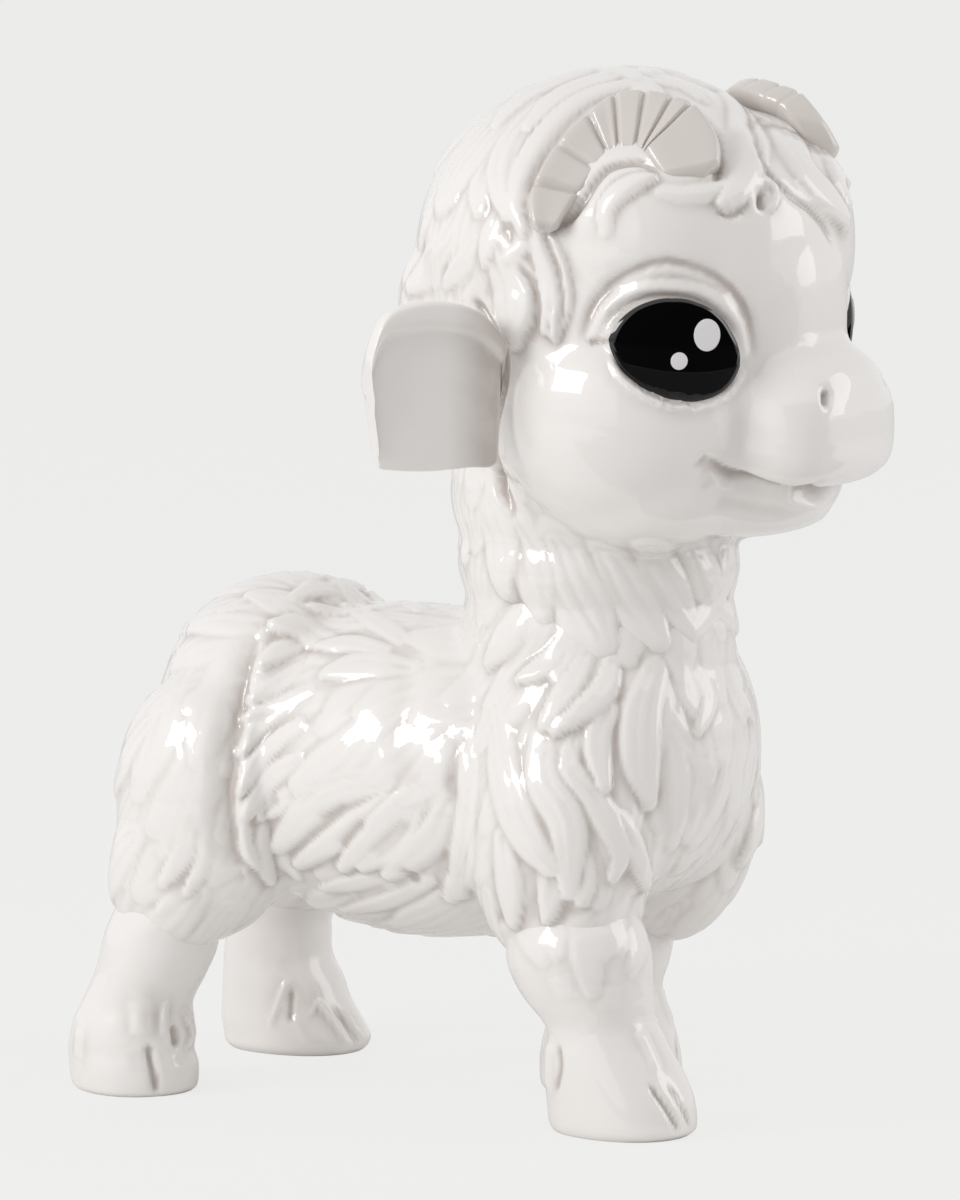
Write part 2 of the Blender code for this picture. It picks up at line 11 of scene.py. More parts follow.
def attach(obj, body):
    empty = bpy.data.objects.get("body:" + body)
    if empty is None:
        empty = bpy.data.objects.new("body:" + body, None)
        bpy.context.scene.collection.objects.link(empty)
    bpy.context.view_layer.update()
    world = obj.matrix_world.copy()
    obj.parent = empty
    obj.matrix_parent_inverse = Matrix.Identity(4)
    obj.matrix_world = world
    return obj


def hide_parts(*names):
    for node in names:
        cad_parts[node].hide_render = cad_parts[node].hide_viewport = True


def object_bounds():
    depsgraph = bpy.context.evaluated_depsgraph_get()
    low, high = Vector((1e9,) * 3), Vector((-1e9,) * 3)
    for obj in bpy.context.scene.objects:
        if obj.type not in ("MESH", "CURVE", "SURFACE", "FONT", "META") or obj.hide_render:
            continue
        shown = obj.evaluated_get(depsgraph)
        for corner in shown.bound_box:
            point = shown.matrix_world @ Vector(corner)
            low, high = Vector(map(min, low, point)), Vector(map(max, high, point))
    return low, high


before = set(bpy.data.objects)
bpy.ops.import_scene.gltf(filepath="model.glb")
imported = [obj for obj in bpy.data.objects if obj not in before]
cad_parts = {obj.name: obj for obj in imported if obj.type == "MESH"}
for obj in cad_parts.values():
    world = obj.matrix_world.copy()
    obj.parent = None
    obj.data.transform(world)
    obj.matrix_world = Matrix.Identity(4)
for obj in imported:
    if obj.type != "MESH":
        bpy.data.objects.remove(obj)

cad_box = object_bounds()
scene = bpy.context.scene
scene.view_settings.view_transform = "Standard"

# The camera stands off the kid's right shoulder, a little higher than its head, with a long lens.
# Its focal length is in pixels of the picture, so a line of sight goes through any of them.
PICTURE_WIDTH = 960
PICTURE_HEIGHT = 1200
FOCAL_PIXELS = 8511.8
SENSOR_WIDTH = 36
CAMERA_PLACE = Vector((-2.2539, -1.3996, 0.4800))
CAMERA_AIM = Vector((-0.0490, -0.0218, 0.1650))

bpy.ops.object.camera_add(location=CAMERA_PLACE)
camera = bpy.context.object
camera.name = "camera"
camera.rotation_euler = (CAMERA_AIM - CAMERA_PLACE).to_track_quat("-Z", "Y").to_euler()
camera.data.sensor_width = SENSOR_WIDTH
camera.data.lens = FOCAL_PIXELS * SENSOR_WIDTH / PICTURE_HEIGHT
scene.camera = camera
sight_forward = (CAMERA_AIM - CAMERA_PLACE).normalized()
sight_right = sight_forward.cross(Vector((0, 0, 1))).normalized()
sight_up = sight_right.cross(sight_forward)


def line_of_sight(x, y):
    """The direction in which the camera sees a pixel of the picture."""
    across = sight_right * (x - PICTURE_WIDTH / 2) / FOCAL_PIXELS
    down = sight_up * (y - PICTURE_HEIGHT / 2) / FOCAL_PIXELS
    return (sight_forward + across - down).normalized()


# The studio: a seamless pale floor, a softbox behind the kid's right flank, a weaker one before its
# left shoulder, and a pale room. The cards before its face are only there for the gloss to mirror.
def linear(code):
    """A colour written as an sRGB hex code, in the linear values that a shader takes."""
    parts = [int(code[i:i + 2], 16) / 255 for i in (1, 3, 5)]
    return (*[c / 12.92 if c <= 0.04045 else ((c + 0.055) / 1.055) ** 2.4 for c in parts], 1)


def node(material, kind, settings=(), inputs=(), links=()):
    """Adds a shader node with its settings, input values and incoming links. Gives its outputs."""
    tree = material.node_tree
    made = tree.nodes.new("ShaderNode" + kind)
    for key, value in dict(settings).items():
        setattr(made, key, value)
    for key, value in dict(inputs).items():
        made.inputs[key].default_value = value
    for key, source in dict(links).items():
        tree.links.new(source, made.inputs[key])
    return made.outputs


ROOM_COLOUR = "#F0F0F0"
ROOM_AMBIENT = 0.755
FLOOR_COLOUR = "#F0F0EF"
FLOOR_SIZE = 40.0
FLOOR_GLOW = 0.88

room = bpy.data.worlds.new("studio room")
room.use_nodes = True
scene.world = room
room.node_tree.nodes.clear()
rays = node(room, "LightPath")
seen = node(room, "Math", {"operation": "ADD"}, {}, {0: rays["Is Camera Ray"], 1: rays["Is Glossy Ray"]})
more = {0: seen[0], 1: rays["Is Transmission Ray"]}
seen = node(room, "Math", {"operation": "ADD", "use_clamp": True}, {}, more)
dim = node(room, "Background", {}, {"Color": linear(ROOM_COLOUR), "Strength": ROOM_AMBIENT})
full = node(room, "Background", {}, {"Color": linear(ROOM_COLOUR), "Strength": 1.0})
both = node(room, "MixShader", {}, {}, {0: seen[0], 1: dim[0], 2: full[0]})
node(room, "OutputWorld", {}, {}, {"Surface": both[0]})

bpy.ops.mesh.primitive_plane_add(size=FLOOR_SIZE, location=(0, 0, cad_box[0][2]))
floor = bpy.context.object
floor.name = "floor"
paper = bpy.data.materials.new("seamless paper")
paper.use_nodes = True
paper.node_tree.nodes.clear()
rays = node(paper, "LightPath")
matt = node(paper, "BsdfDiffuse", {}, {"Color": linear(FLOOR_COLOUR)})
glow = node(paper, "Emission", {}, {"Color": linear(FLOOR_COLOUR), "Strength": 1.0})
share = node(paper, "Math", {"operation": "MULTIPLY"}, {1: FLOOR_GLOW}, {0: rays["Is Camera Ray"]})
both = node(paper, "MixShader", {}, {}, {0: share[0], 1: matt[0], 2: glow[0]})
node(paper, "OutputMaterial", {}, {}, {"Surface": both[0]})
floor.data.materials.append(paper)

# Each lamp: place, the point it faces, width, height and power in watts.
LAMPS = {
    "key softbox": ((-1.35, 0.72, 0.92), (0, 0, 0.18), 0.75, 0.50, 10.0),
    "far softbox": ((0.75, -1.25, 0.75), (0, 0, 0.18), 0.80, 1.00, 4.5),
}
for name, (place, aim, width, height, watts) in LAMPS.items():
    bpy.ops.object.light_add(type="AREA", location=place)
    lamp = bpy.context.object
    lamp.name = name
    lamp.rotation_euler = (Vector(aim) - Vector(place)).to_track_quat("-Z", "Y").to_euler()
    lamp.data.shape = "RECTANGLE"
    lamp.data.size = width
    lamp.data.size_y = height
    lamp.data.energy = watts

# Each card: distance from the kid, height, tilt in degrees, width, length and colour of its felt.
CARDS = {
    "dark_card": (1.22, 0.62, 90, 2.4, 1.24, "#050505"),
    "dark_card_low": (0.90, 0.002, 0, 2.4, 0.70, "#050505"),
    "grey_card": (0.34, 0.001, 0, 1.2, 0.42, "#5A5A5A"),
}
CARD_TURN = math.radians(-30.5)
for name, (away, rise, tilt, width, length, colour) in CARDS.items():
    place = (away * math.sin(CARD_TURN), -away * math.cos(CARD_TURN), rise)
    bpy.ops.mesh.primitive_plane_add(size=1, location=place, rotation=(math.radians(tilt), 0, CARD_TURN))
    card = bpy.context.object
    card.name = name
    card.scale = (width, length, 1)
    felt = bpy.data.materials.new("felt of the " + name)
    felt.use_nodes = True
    nap = felt.node_tree.nodes["Principled BSDF"]
    nap.inputs["Base Color"].default_value = linear(colour)
    nap.inputs["Roughness"].default_value = 1.0
    card.data.materials.append(felt)
    card.visible_camera = False
    card.visible_diffuse = False
    card.visible_shadow = False


# The torso: slip-cast earthenware with the wool modelled in the mould, then dipped in white glaze.
# The locks lie like tiles, each with its rounded tip over the root of the next.
MM = 0.001


def change(piece, kind, settings):
    """Puts a piece through one modifier with its settings."""
    bpy.context.view_layer.objects.active = piece
    modifier = piece.modifiers.new(kind, kind)
    for key, value in settings.items():
        setattr(modifier, key, value)
    bpy.ops.object.modifier_apply(modifier=modifier.name)


def soften(piece, passes):
    """Smooths a piece, as a wet sponge does."""
    change(piece, "SMOOTH", {"factor": 0.5, "iterations": passes})


def clay(name, balls, grain, passes):
    """Presses balls of clay into one form.

    Each ball is its centre and its radii in millimetres. How square it is (2 is round) and how far
    it nods forwards in degrees may follow. The form is pressed at a coarse grain and refined.
    """
    made = []
    for x, y, z, wide, long, high, *more in balls:
        square, nod = more or (2, 0)
        bpy.ops.mesh.primitive_uv_sphere_add(segments=64, ring_count=48, radius=1)
        ball = bpy.context.object
        for point in ball.data.vertices:
            point.co /= sum(abs(c) ** square for c in point.co) ** (1 / square)
        ball.location = (x * MM, y * MM, z * MM)
        ball.scale = (wide * MM, long * MM, high * MM)
        ball.rotation_euler = (math.radians(nod), 0, 0)
        made.append(ball)
    for ball in made:
        ball.select_set(True)
    bpy.ops.object.join()
    piece = bpy.context.object
    piece.name = name
    piece.data.name = name
    bpy.ops.object.transform_apply(location=True, rotation=True, scale=True)
    change(piece, "REMESH", {"mode": "VOXEL", "voxel_size": grain, "use_smooth_shade": True})
    soften(piece, passes)
    change(piece, "SUBSURF", {"levels": 1, "render_levels": 1})
    return piece


def both_sides(balls):
    """The same balls on the kid's right and on its left."""
    return [(side * ball[0], *ball[1:]) for ball in balls for side in (-1, 1)]


def finish_piece(piece, node_name, material):
    """Gives a piece its glaze, hangs it on the root body and hides the part that it stands for."""
    piece.data.materials.clear()
    piece.data.materials.append(material)
    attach(piece, "root")
    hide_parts(node_name)


def mesh_arrays(piece):
    """The places and the normals of a piece's points."""
    count = len(piece.data.vertices)
    places = np.empty(count * 3)
    normals = np.empty(count * 3)
    piece.data.vertices.foreach_get("co", places)
    piece.data.vertex_normals.foreach_get("vector", normals)
    return places.reshape(-1, 3), normals.reshape(-1, 3)


def surface_tree(piece):
    """A tree that finds where lines meet a piece, and what is nearest on it."""
    return BVHTree.FromObject(piece, bpy.context.evaluated_depsgraph_get())


def smooth_path(points, count):
    """About so many points on one smooth curve through the given ones."""
    points = [Vector(p) for p in points]
    ends = [points[0] * 2 - points[1], *points, points[-1] * 2 - points[-2]]
    made = []
    per = max(2, count // (len(points) - 1))
    for before, start, end, after in zip(ends, ends[1:], ends[2:], ends[3:]):
        leave = start + (end - before) / 6
        arrive = end - (after - start) / 6
        made += interpolate_bezier(start, leave, arrive, end, per + 1)[:-1]
    return [*made, points[-1]]


# Where a line of sight passes beside a piece, the nearest place is looked for this far along it.
SIGHT_STEPS = np.linspace(2.40, 2.94, 55)


def under_pixel(tree, x, y):
    """The place on a surface under a pixel of the picture, or nearest to its line of sight."""
    sight = line_of_sight(x, y)
    place = tree.ray_cast(CAMERA_PLACE, sight)[0]
    if place is None:
        steps = [CAMERA_PLACE + sight * float(step) for step in SIGHT_STEPS]
        place = min((tree.find_nearest(step) for step in steps), key=lambda found: found[3])[0]
    return place


PATH_POINTS = 16


def traced(tree, pixels):
    """A path on the surface under a line of pixels of the picture."""
    places = [under_pixel(tree, x, y) for x, y in pixels]
    return [tree.find_nearest(p)[0] for p in smooth_path(places, PATH_POINTS)]


def on_side(place, side):
    """A place of the kid's right side, there (-1) or mirrored to its left (1)."""
    return Vector((-side * place.x, place.y, place.z))


def flipped(path):
    """The same path on the other side of the kid."""
    return [on_side(place, 1) for place in path]


def along_path(places, normals, path):
    """How far each place is from a path, how far along it, from 0 to 1, and on which side of it."""
    nodes = np.array(path)
    starts, runs = nodes[:-1], nodes[1:] - nodes[:-1]
    square = (runs * runs).sum(1) + 1e-12
    offset = places[:, None, :] - starts[None]
    share = np.clip((offset * runs[None]).sum(2) / square[None], 0, 1)
    gap = np.linalg.norm(offset - share[..., None] * runs[None], axis=2)
    nearest = gap.argmin(1)
    rows = np.arange(len(places))
    side = np.sign((np.cross(runs[nearest], offset[rows, nearest]) * normals).sum(1))
    return gap[rows, nearest], (nearest + share[rows, nearest]) / len(starts), side


# The least by which normals agree where they count as on the same side of a piece.
SAME_SIDE = 0.15


def near_path(places, normals, path, tree, reach):
    """Which places lie near a path, on the side of the surface that it lies on."""
    nodes = np.array(path)
    inside = np.all((places > nodes.min(0) - reach) & (places < nodes.max(0) + reach), axis=1)
    chosen = np.flatnonzero(inside)
    samples = (path[0], path[len(path) // 2], path[-1])
    facing = np.array([tree.find_nearest(p)[1] for p in samples]).mean(0)
    return chosen[normals[chosen] @ facing > SAME_SIDE]


# The painted shade, with a little pooled glaze, is full in a hollow of this depth, measured against the
# points this many edges round.
POOL_AND_SHADE_DEPTH = 0.0007
POOL_AND_SHADE_PASSES = 10


def hollows(piece, lift):
    """How far each point lies below the points round it, from 0 to 1."""
    edges = np.empty(len(piece.data.edges) * 2, dtype=np.int32)
    piece.data.edges.foreach_get("vertices", edges)
    first, second = edges.reshape(-1, 2).T
    ends, others = np.concatenate((first, second)), np.concatenate((second, first))
    count = np.bincount(ends, minlength=len(lift))
    around = lift
    for _ in range(POOL_AND_SHADE_PASSES):
        around = np.bincount(ends, weights=around[others], minlength=len(lift)) / count
    return np.clip((around - lift) / POOL_AND_SHADE_DEPTH, 0, 1)


# In half-widths, how far a lock's flanks reach, over how much they fall and where its crown stops
# falling, and the share of the height that the crown loses in the first half-width.
FLANK = 1.35
FLANK_RUN = 0.50
CROWN_EDGE = 1.2
CROWN_FALL = 0.30
# How wide a strand is, and how deep its parting is, as a share of the lock's height.
STRAND = 0.0045
PARTING = 0.10
# A lock's height and width at its root, as shares of the greatest ones, where along its way it is
# widest and where it starts to narrow, and by how much it does.
ROOT_HEIGHT = 0.40
ROOT_WIDTH = 0.70
WIDEST = 0.6
NARROWS = 0.5
TIP_NARROWING = 0.50
# Over what share of its way a stroke fades and to what share of its height, how wide its steep
# side is, and the power that rounds flanks and ends.
FADE_RUN = 0.16
END_HEIGHT = 0.25
STEEP = 0.0024
ROUNDING = 0.7


def comb(piece, locks, strokes):
    """Raises locks of wool and presses strokes into a piece, along its normals.

    A lock is its path, half-width and height. It rises from its root to a rounded tip and is parted
    into strands. Its flanks go on past its width, so that locks side by side meet in a crease, and
    the higher one shows. A stroke is its path, half-width and height, added on top, and is a furrow
    where the height is below zero. One with a half-width below zero is steep on its left side.
    """
    places, normals = mesh_arrays(piece)
    tree = surface_tree(piece)
    lift = np.zeros(len(places))
    for path, half, height in locks:
        chosen = near_path(places, normals, path, tree, half * FLANK)
        gap, share, side = along_path(places[chosen], normals[chosen], path)
        swell = ROOT_WIDTH + (1 - ROOT_WIDTH) * np.sin(np.clip(share / WIDEST, 0, 1) * math.pi / 2)
        swell -= TIP_NARROWING * np.clip((share - NARROWS) / (1 - NARROWS), 0, 1) ** 2
        ratio = gap / (half * swell)
        flank = np.clip((FLANK - ratio) / FLANK_RUN, 0, 1) ** ROUNDING
        crown = (1 - CROWN_FALL * np.minimum(ratio, CROWN_EDGE) ** 2) * flank
        strands = max(1, round(half / STRAND * 2))
        parting = 0.5 - 0.5 * np.cos(side * ratio * strands * math.pi + (strands - 1) * math.pi)
        rise = ROOT_HEIGHT + (1 - ROOT_HEIGHT) * share
        raised = height * (rise * crown - PARTING * parting * np.clip(1 - ratio ** 2, 0, 1))
        lift[chosen] = np.maximum(lift[chosen], raised)
    for path, half, height in strokes:
        chosen = near_path(places, normals, path, tree, abs(half))
        gap, share, side = along_path(places[chosen], normals[chosen], path)
        fade = np.clip(np.minimum(share, 1 - share) / FADE_RUN, 0, 1) ** ROUNDING
        reach = np.where((half < 0) & (side > 0), STEEP, abs(half))
        bump = 0.5 + 0.5 * np.cos(np.clip(gap / reach, 0, 1) * math.pi)
        lift[chosen] += height * bump * (END_HEIGHT + (1 - END_HEIGHT) * fade)
    places = places + normals * lift[:, None]
    piece.data.vertices.foreach_set("co", places.ravel())
    # Painted shade, with a little pooled glaze: the hollows take the glaze's darker colour.
    layer = piece.data.attributes.new("pool_and_shade", "FLOAT", "POINT")
    layer.data.foreach_set("value", hollows(piece, lift))
    piece.data.update()


# Locks and strokes seen in the picture are written as rows: width in pixels, height in millimetres,
# then the pixels that they pass under.
PIXELS_PER_MM = 3.25


def traced_rows(tree, rows):
    """Locks or strokes, each a path, a half-width and a height, where the picture shows them."""
    return [(traced(tree, pixels), width / PIXELS_PER_MM / 2 * MM, height * MM)
            for width, height, *pixels in rows]


def traced_both(tree, rows):
    """The same, and each one's mirror image on the other side of the kid."""
    made = []
    for path, half, height in traced_rows(tree, rows):
        mirror = flipped(path)[::-1] if half < 0 else flipped(path)
        made += [(path, half, height), (mirror, half, height)]
    return made


FLOW_STEPS = 9


def flow_lock(tree, start, heading, length):
    """A path that leaves a place and follows a heading over the surface."""
    place = tree.find_nearest(Vector(start))[0]
    path = [place]
    for _ in range(FLOW_STEPS):
        normal = tree.find_nearest(place)[1]
        way = heading(place)
        way = (way - normal * way.dot(normal)).normalized()
        place = tree.find_nearest(place + way * (length / FLOW_STEPS))[0]
        path.append(place)
    return path


def scatter(piece, tree, where, heading, spacing, length, half, height, seed):
    """Locks all over the part of a piece that a test picks, at a steady spacing."""
    dice = random.Random(seed)
    spots = [p.co.copy() for p in piece.data.vertices]
    dice.shuffle(spots)
    kept = []
    cells = {}
    for spot in spots:
        if not where(spot):
            continue
        cell = tuple(math.floor(c / spacing) for c in spot)
        near = [q for dx in (-1, 0, 1) for dy in (-1, 0, 1) for dz in (-1, 0, 1)
                for q in cells.get((cell[0] + dx, cell[1] + dy, cell[2] + dz), ())]
        if any((spot - q).length < spacing for q in near):
            continue
        cells.setdefault(cell, []).append(spot)
        kept.append(spot)
    locks = []
    for spot in kept:
        stretch = dice.uniform(0.8, 1.25)
        path = flow_lock(tree, spot, heading, length * stretch)
        locks.append((path, half * dice.uniform(0.85, 1.15), height * dice.uniform(0.75, 1.2)))
    return locks


def glazed(name, crest, hollow_and_shade, roughness, ripple):
    """A fired glaze over the clay: opaque colour under a clear gloss.

    It runs thin on the crests and pools in the hollows, where its colour is darker: a little from the
    deeper glaze, mostly painted shade.
    """
    glaze = bpy.data.materials.new(name)
    glaze.use_nodes = True
    glaze.node_tree.nodes.clear()
    spot = node(glaze, "TexCoord")["Object"]
    # The gloss rises and falls over about 20 mm, as a dipped glaze does, with a finer peel on it.
    wave = node(glaze, "TexNoise", {}, {"Scale": 50.0, "Detail": 2.0, "Roughness": 0.4}, {"Vector": spot})
    peel = node(glaze, "TexNoise", {}, {"Scale": 320.0, "Detail": 1.0}, {"Vector": spot})
    fine = {"Strength": ripple * 0.25, "Distance": 0.0002}
    skin = node(glaze, "Bump", {}, fine, {"Height": peel["Fac"]})
    rough = {"Height": wave["Fac"], "Normal": skin["Normal"]}
    skin = node(glaze, "Bump", {}, {"Strength": ripple, "Distance": 0.0012}, rough)
    # Painted shade in the hollows, with a little pooled glaze, read from the piece's points.
    pool_and_shade = node(glaze, "Attribute", {"attribute_name": "pool_and_shade"})
    cloud = node(glaze, "TexNoise", {}, {"Scale": 90.0, "Detail": 3.0}, {"Vector": spot})
    spread = {"From Min": 0.3, "From Max": 0.7, "To Min": 0.75, "To Max": 1.25}
    cloud = node(glaze, "MapRange", {}, spread, {"Value": cloud["Fac"]})
    both = {0: pool_and_shade["Fac"], 1: cloud["Result"]}
    pool_and_shade_amount = node(glaze, "Math", {"operation": "MULTIPLY", "use_clamp": True}, {}, both)
    colours = {6: linear(crest), 7: linear(hollow_and_shade)}
    tint = node(glaze, "Mix", {"data_type": "RGBA"}, colours, {0: pool_and_shade_amount[0]})
    gloss = {
        "Roughness": roughness,
        "Specular IOR Level": 0.25,
        "Coat Weight": 1.0,
        "Coat Roughness": 0.03,
        "Coat IOR": 1.5,
    }
    look = {"Base Color": tint[2], "Normal": skin["Normal"], "Coat Normal": skin["Normal"]}
    body = node(glaze, "BsdfPrincipled", {}, gloss, look)
    node(glaze, "OutputMaterial", {}, {}, {"Surface": body[0]})
    return glaze


# Its second colour is painted shade in the hollows and creases, with a little pooled glaze.
white_glaze = glazed("opaque white glaze", "#F0ECE9", "#C9C0BA", roughness=0.35, ripple=0.35)

torso_balls = [
    (0, 21.5, 103.5, 51, 92, 51),
    (0, -39.5, 117, 49, 43.5, 50),
    (0, 79, 116, 48.5, 39.5, 45),
    (0, -34.5, 148, 39.5, 43.5, 42),
    *both_sides([(32, -40, 93, 24, 31, 42), (36.5, 86.5, 93, 25, 30, 42.5)]),
]
# The cuff of wool round the top of each leg: its middle, its half-width and how square it is.
CUFF_HEIGHT = 24
CUFFS = (
    (-32, -44, 80, 20, 3.2),
    (31, -22, 76, 21, 3.2),
    (-42.5, 94, 71, 18.5, 2.6),
    (43, 108, 71, 21, 3.2),
)
for x, y, z, wide, square in CUFFS:
    torso_balls.append((x, y, z, wide, wide + 1.5, CUFF_HEIGHT, square, 0))

torso = clay("torso", torso_balls, grain=0.0024, passes=9)
torso_tree = surface_tree(torso)

TORSO_WOOL = (
    # the chest and the shoulder
    (33, 2.6, (522, 611), (510, 635), (492, 662)),
    (24, 2.8, (570, 635), (546, 665), (522, 680)),
    (27, 3.2, (588, 652), (570, 689), (546, 725)),
    (27, 3.6, (612, 662), (600, 695), (558, 731)),
    (39, 3.4, (654, 671), (642, 710), (640, 760), (646, 800)),
    (27, 3.4, (609, 710), (597, 740), (603, 788)),
    (27, 3.2, (576, 734), (570, 767), (594, 800), (618, 848), (612, 875)),
    (39, 3.4, (543, 740), (543, 782), (567, 824), (570, 890)),
    (42, 3.2, (495, 710), (504, 770), (525, 830), (552, 866)),
    (36, 3.0, (465, 734), (471, 782), (468, 830), (462, 890)),
    (33, 3.4, (504, 836), (510, 878), (516, 920)),
    (27, 3.4, (546, 860), (552, 890), (549, 917)),
    (27, 3.0, (489, 893), (498, 926), (516, 956)),
    (30, 3.0, (579, 845), (582, 875), (582, 899)),
    (29, 3.4, (606, 806), (627, 839), (642, 884)),
    (24, 2.2, (693, 668), (708, 695), (696, 731)),
    (30, 2.0, (672, 734), (678, 785), (669, 845)),
    (32, 1.8, (720, 716), (726, 770), (690, 845)),
    (30, 1.8, (750, 695), (747, 770), (726, 839), (670, 885)),
    # the back
    (26, 3.6, (420, 612), (398, 602), (370, 600)),
    (28, 2.8, (402, 640), (372, 622), (345, 610)),
    (26, 3.4, (384, 652), (350, 646), (322, 650)),
    (34, 3.8, (336, 648), (305, 632), (276, 628)),
    (28, 3.4, (350, 596), (320, 592), (292, 604)),
    (16, 2.6, (398, 588), (365, 584), (320, 582)),
    (34, 2.2, (410, 668), (365, 664), (328, 674)),
    (26, 2.6, (300, 588), (262, 582), (232, 586)),
    (28, 2.6, (290, 612), (258, 606), (224, 614)),
    # the edge of the barrel's wool over the groove in front of the haunch
    (24, 2.6, (310, 640), (285, 650), (262, 665)),
    (24, 2.8, (305, 665), (280, 685), (252, 700)),
    (20, 2.8, (310, 690), (280, 705), (245, 718)),
    (22, 3.0, (290, 705), (262, 725), (240, 752)),
    (24, 3.2, (300, 725), (265, 755), (240, 790)),
    (26, 3.2, (300, 760), (270, 780), (245, 815)),
    (24, 2.8, (310, 785), (285, 800), (260, 815)),
    (20, 3.0, (262, 825), (262, 855), (270, 880)),
    (16, 3.0, (245, 820), (245, 845), (255, 865)),
    (20, 2.6, (282, 830), (285, 860), (300, 875)),
    # the barrel's side
    (50, 2.2, (400, 700), (340, 760), (300, 785)),
    (40, 2.6, (385, 780), (330, 790), (280, 845)),
    (28, 2.8, (385, 800), (350, 830), (300, 862)),
    (30, 2.8, (415, 790), (385, 820), (345, 865)),
    (28, 2.8, (420, 800), (400, 840), (365, 865)),
    (34, 2.8, (450, 800), (430, 840), (390, 872)),
    (34, 2.8, (475, 800), (470, 860), (452, 895)),
    (22, 2.6, (400, 868), (360, 880), (325, 885)),
    (22, 2.8, (430, 880), (385, 900), (345, 905)),
    (26, 2.8, (450, 890), (410, 915), (375, 925)),
    (24, 2.6, (475, 905), (440, 930), (400, 934)),
    # the haunch
    (50, 1.2, (240, 640), (215, 700), (200, 760)),
    (60, 1.2, (215, 740), (190, 790), (170, 850)),
    (60, 1.2, (190, 640), (160, 720), (140, 790)),
    (50, 1.2, (160, 760), (135, 820), (125, 880)),
    (24, 2.2, (190, 820), (185, 850), (165, 882)),
    (18, 2.2, (206, 830), (202, 865), (187, 893)),
    (20, 2.0, (185, 885), (172, 900), (160, 912)),
)
TORSO_STROKES = (
    # the groove between the haunch and the barrel, and the fold behind the shoulder
    (-64, -2.6, (256, 640), (245, 690), (237, 750), (231, 810), (241, 865)),
    (60, -0.9, (410, 640), (402, 700), (404, 760), (420, 795)),
    (30, -1.0, (462, 735), (454, 770), (456, 805)),
    # pockets between the barrel's locks
    (18, -1.0, (262, 818), (272, 806), (282, 796)),
    (14, -0.7, (320, 816), (334, 812), (348, 804)),
    (18, -1.2, (344, 844), (354, 833), (366, 820)),
    (28, -0.8, (376, 854), (394, 838), (412, 820)),
    (18, -1.2, (402, 866), (412, 872), (420, 884)),
)


# Where the underside, the rump, the middle of the back, the chest and the barrel begin or end.
UNDERSIDE_TOP = 0.068
RUMP_START = 0.098
BACK_BOTTOM = 0.148
BACK_START = 0.020
CHEST_END = -0.025
CHEST_BOTTOM = 0.062
BARREL_START = -0.030
# The height from which the wool turns level, where it turns back over the shoulders, and the
# distance over which it turns.
LEVEL_HEIGHT = 0.120
SHOULDER_START = -0.070
TURN_RUN = 0.040


def wool_way(spot):
    """Wool runs back along the top, back and down on the sides, and to the rear below."""
    return Vector((0, 0.9, -0.9 + 1.1 * max(0.0, (spot.z - LEVEL_HEIGHT) / TURN_RUN)))


def chest_way(spot):
    """Wool hangs down the chest and turns back over the shoulders."""
    return Vector((0, 0.6 * max(0.0, (spot.y - SHOULDER_START) / TURN_RUN), -1))


def unseen_wool(spot):
    """The parts that the traced locks leave bare: the underside, the rump and the middle of the back."""
    above = spot.z > BACK_BOTTOM and spot.y > BACK_START
    return spot.z < UNDERSIDE_TOP or spot.y > RUMP_START or above


def chest_wool(spot):
    """The chest and the shoulders, where low wool fills in between the traced locks."""
    return spot.y < CHEST_END and spot.z > CHEST_BOTTOM


def low_wool(spot):
    """The barrel and the haunches, which roll softly under the traced locks."""
    return spot.y > BARREL_START and not unseen_wool(spot)


# Wool laid in by rule: where it grows, its way, the spacing, length, half-width and height of its
# locks, and the seed of their dice.
TORSO_FILLING = (
    (unseen_wool, wool_way, 0.0130, 0.030, 0.0080, 0.0026, 3),
    (chest_wool, chest_way, 0.0120, 0.028, 0.0070, 0.0014, 4),
    (low_wool, wool_way, 0.0150, 0.030, 0.0085, 0.0011, 6),
)
torso_locks = traced_both(torso_tree, TORSO_WOOL)
for filling in TORSO_FILLING:
    torso_locks += scatter(torso, torso_tree, *filling)
comb(torso, torso_locks, traced_both(torso_tree, TORSO_STROKES))
soften(torso, passes=2)
finish_piece(torso, "torso", white_glaze)


# The sockets of the eyes are laid out first, because the head and its lids are pressed round them.
# Their outline is the right eye's, and the left eye mirrors it.
SKULL = Vector((0, -0.0465, 0.2510))
SKULL_RADIUS = 0.0695
EYE_DOME_RADIUS = 0.0550
EYE_OUTLINE = (
    (609, 340), (616, 326), (630, 312), (650, 302), (673, 299), (697, 303), (718, 315), (732, 333),
    (740, 352), (740, 368), (733, 382), (720, 394), (700, 402), (678, 401), (655, 394), (633, 381),
    (617, 362),
)


def skull_way(azimuth, elevation):
    """A unit vector out of the skull's right side. Azimuth 0 is the front."""
    a, e = math.radians(azimuth), math.radians(elevation)
    return Vector((-math.sin(a) * math.cos(e), -math.cos(a) * math.cos(e), math.sin(e)))


eye_out = skull_way(47, -4)
eye_pole = SKULL + eye_out * SKULL_RADIUS
eye_up = (Vector((0, 0, 1)) - eye_out * eye_out.z).normalized()
eye_nose = eye_up.cross(eye_out).normalized()
eye_centre = eye_pole - eye_out * EYE_DOME_RADIUS


def on_eye(x, y):
    """Where a line of sight meets the eye's dome, as distances to the nose and up from its pole."""
    sight = line_of_sight(x, y)
    back = CAMERA_PLACE - eye_centre
    along = back.dot(sight)
    place = back + sight * (-along - math.sqrt(along * along - back.length_squared + EYE_DOME_RADIUS ** 2))
    return place.dot(eye_nose), place.dot(eye_up)


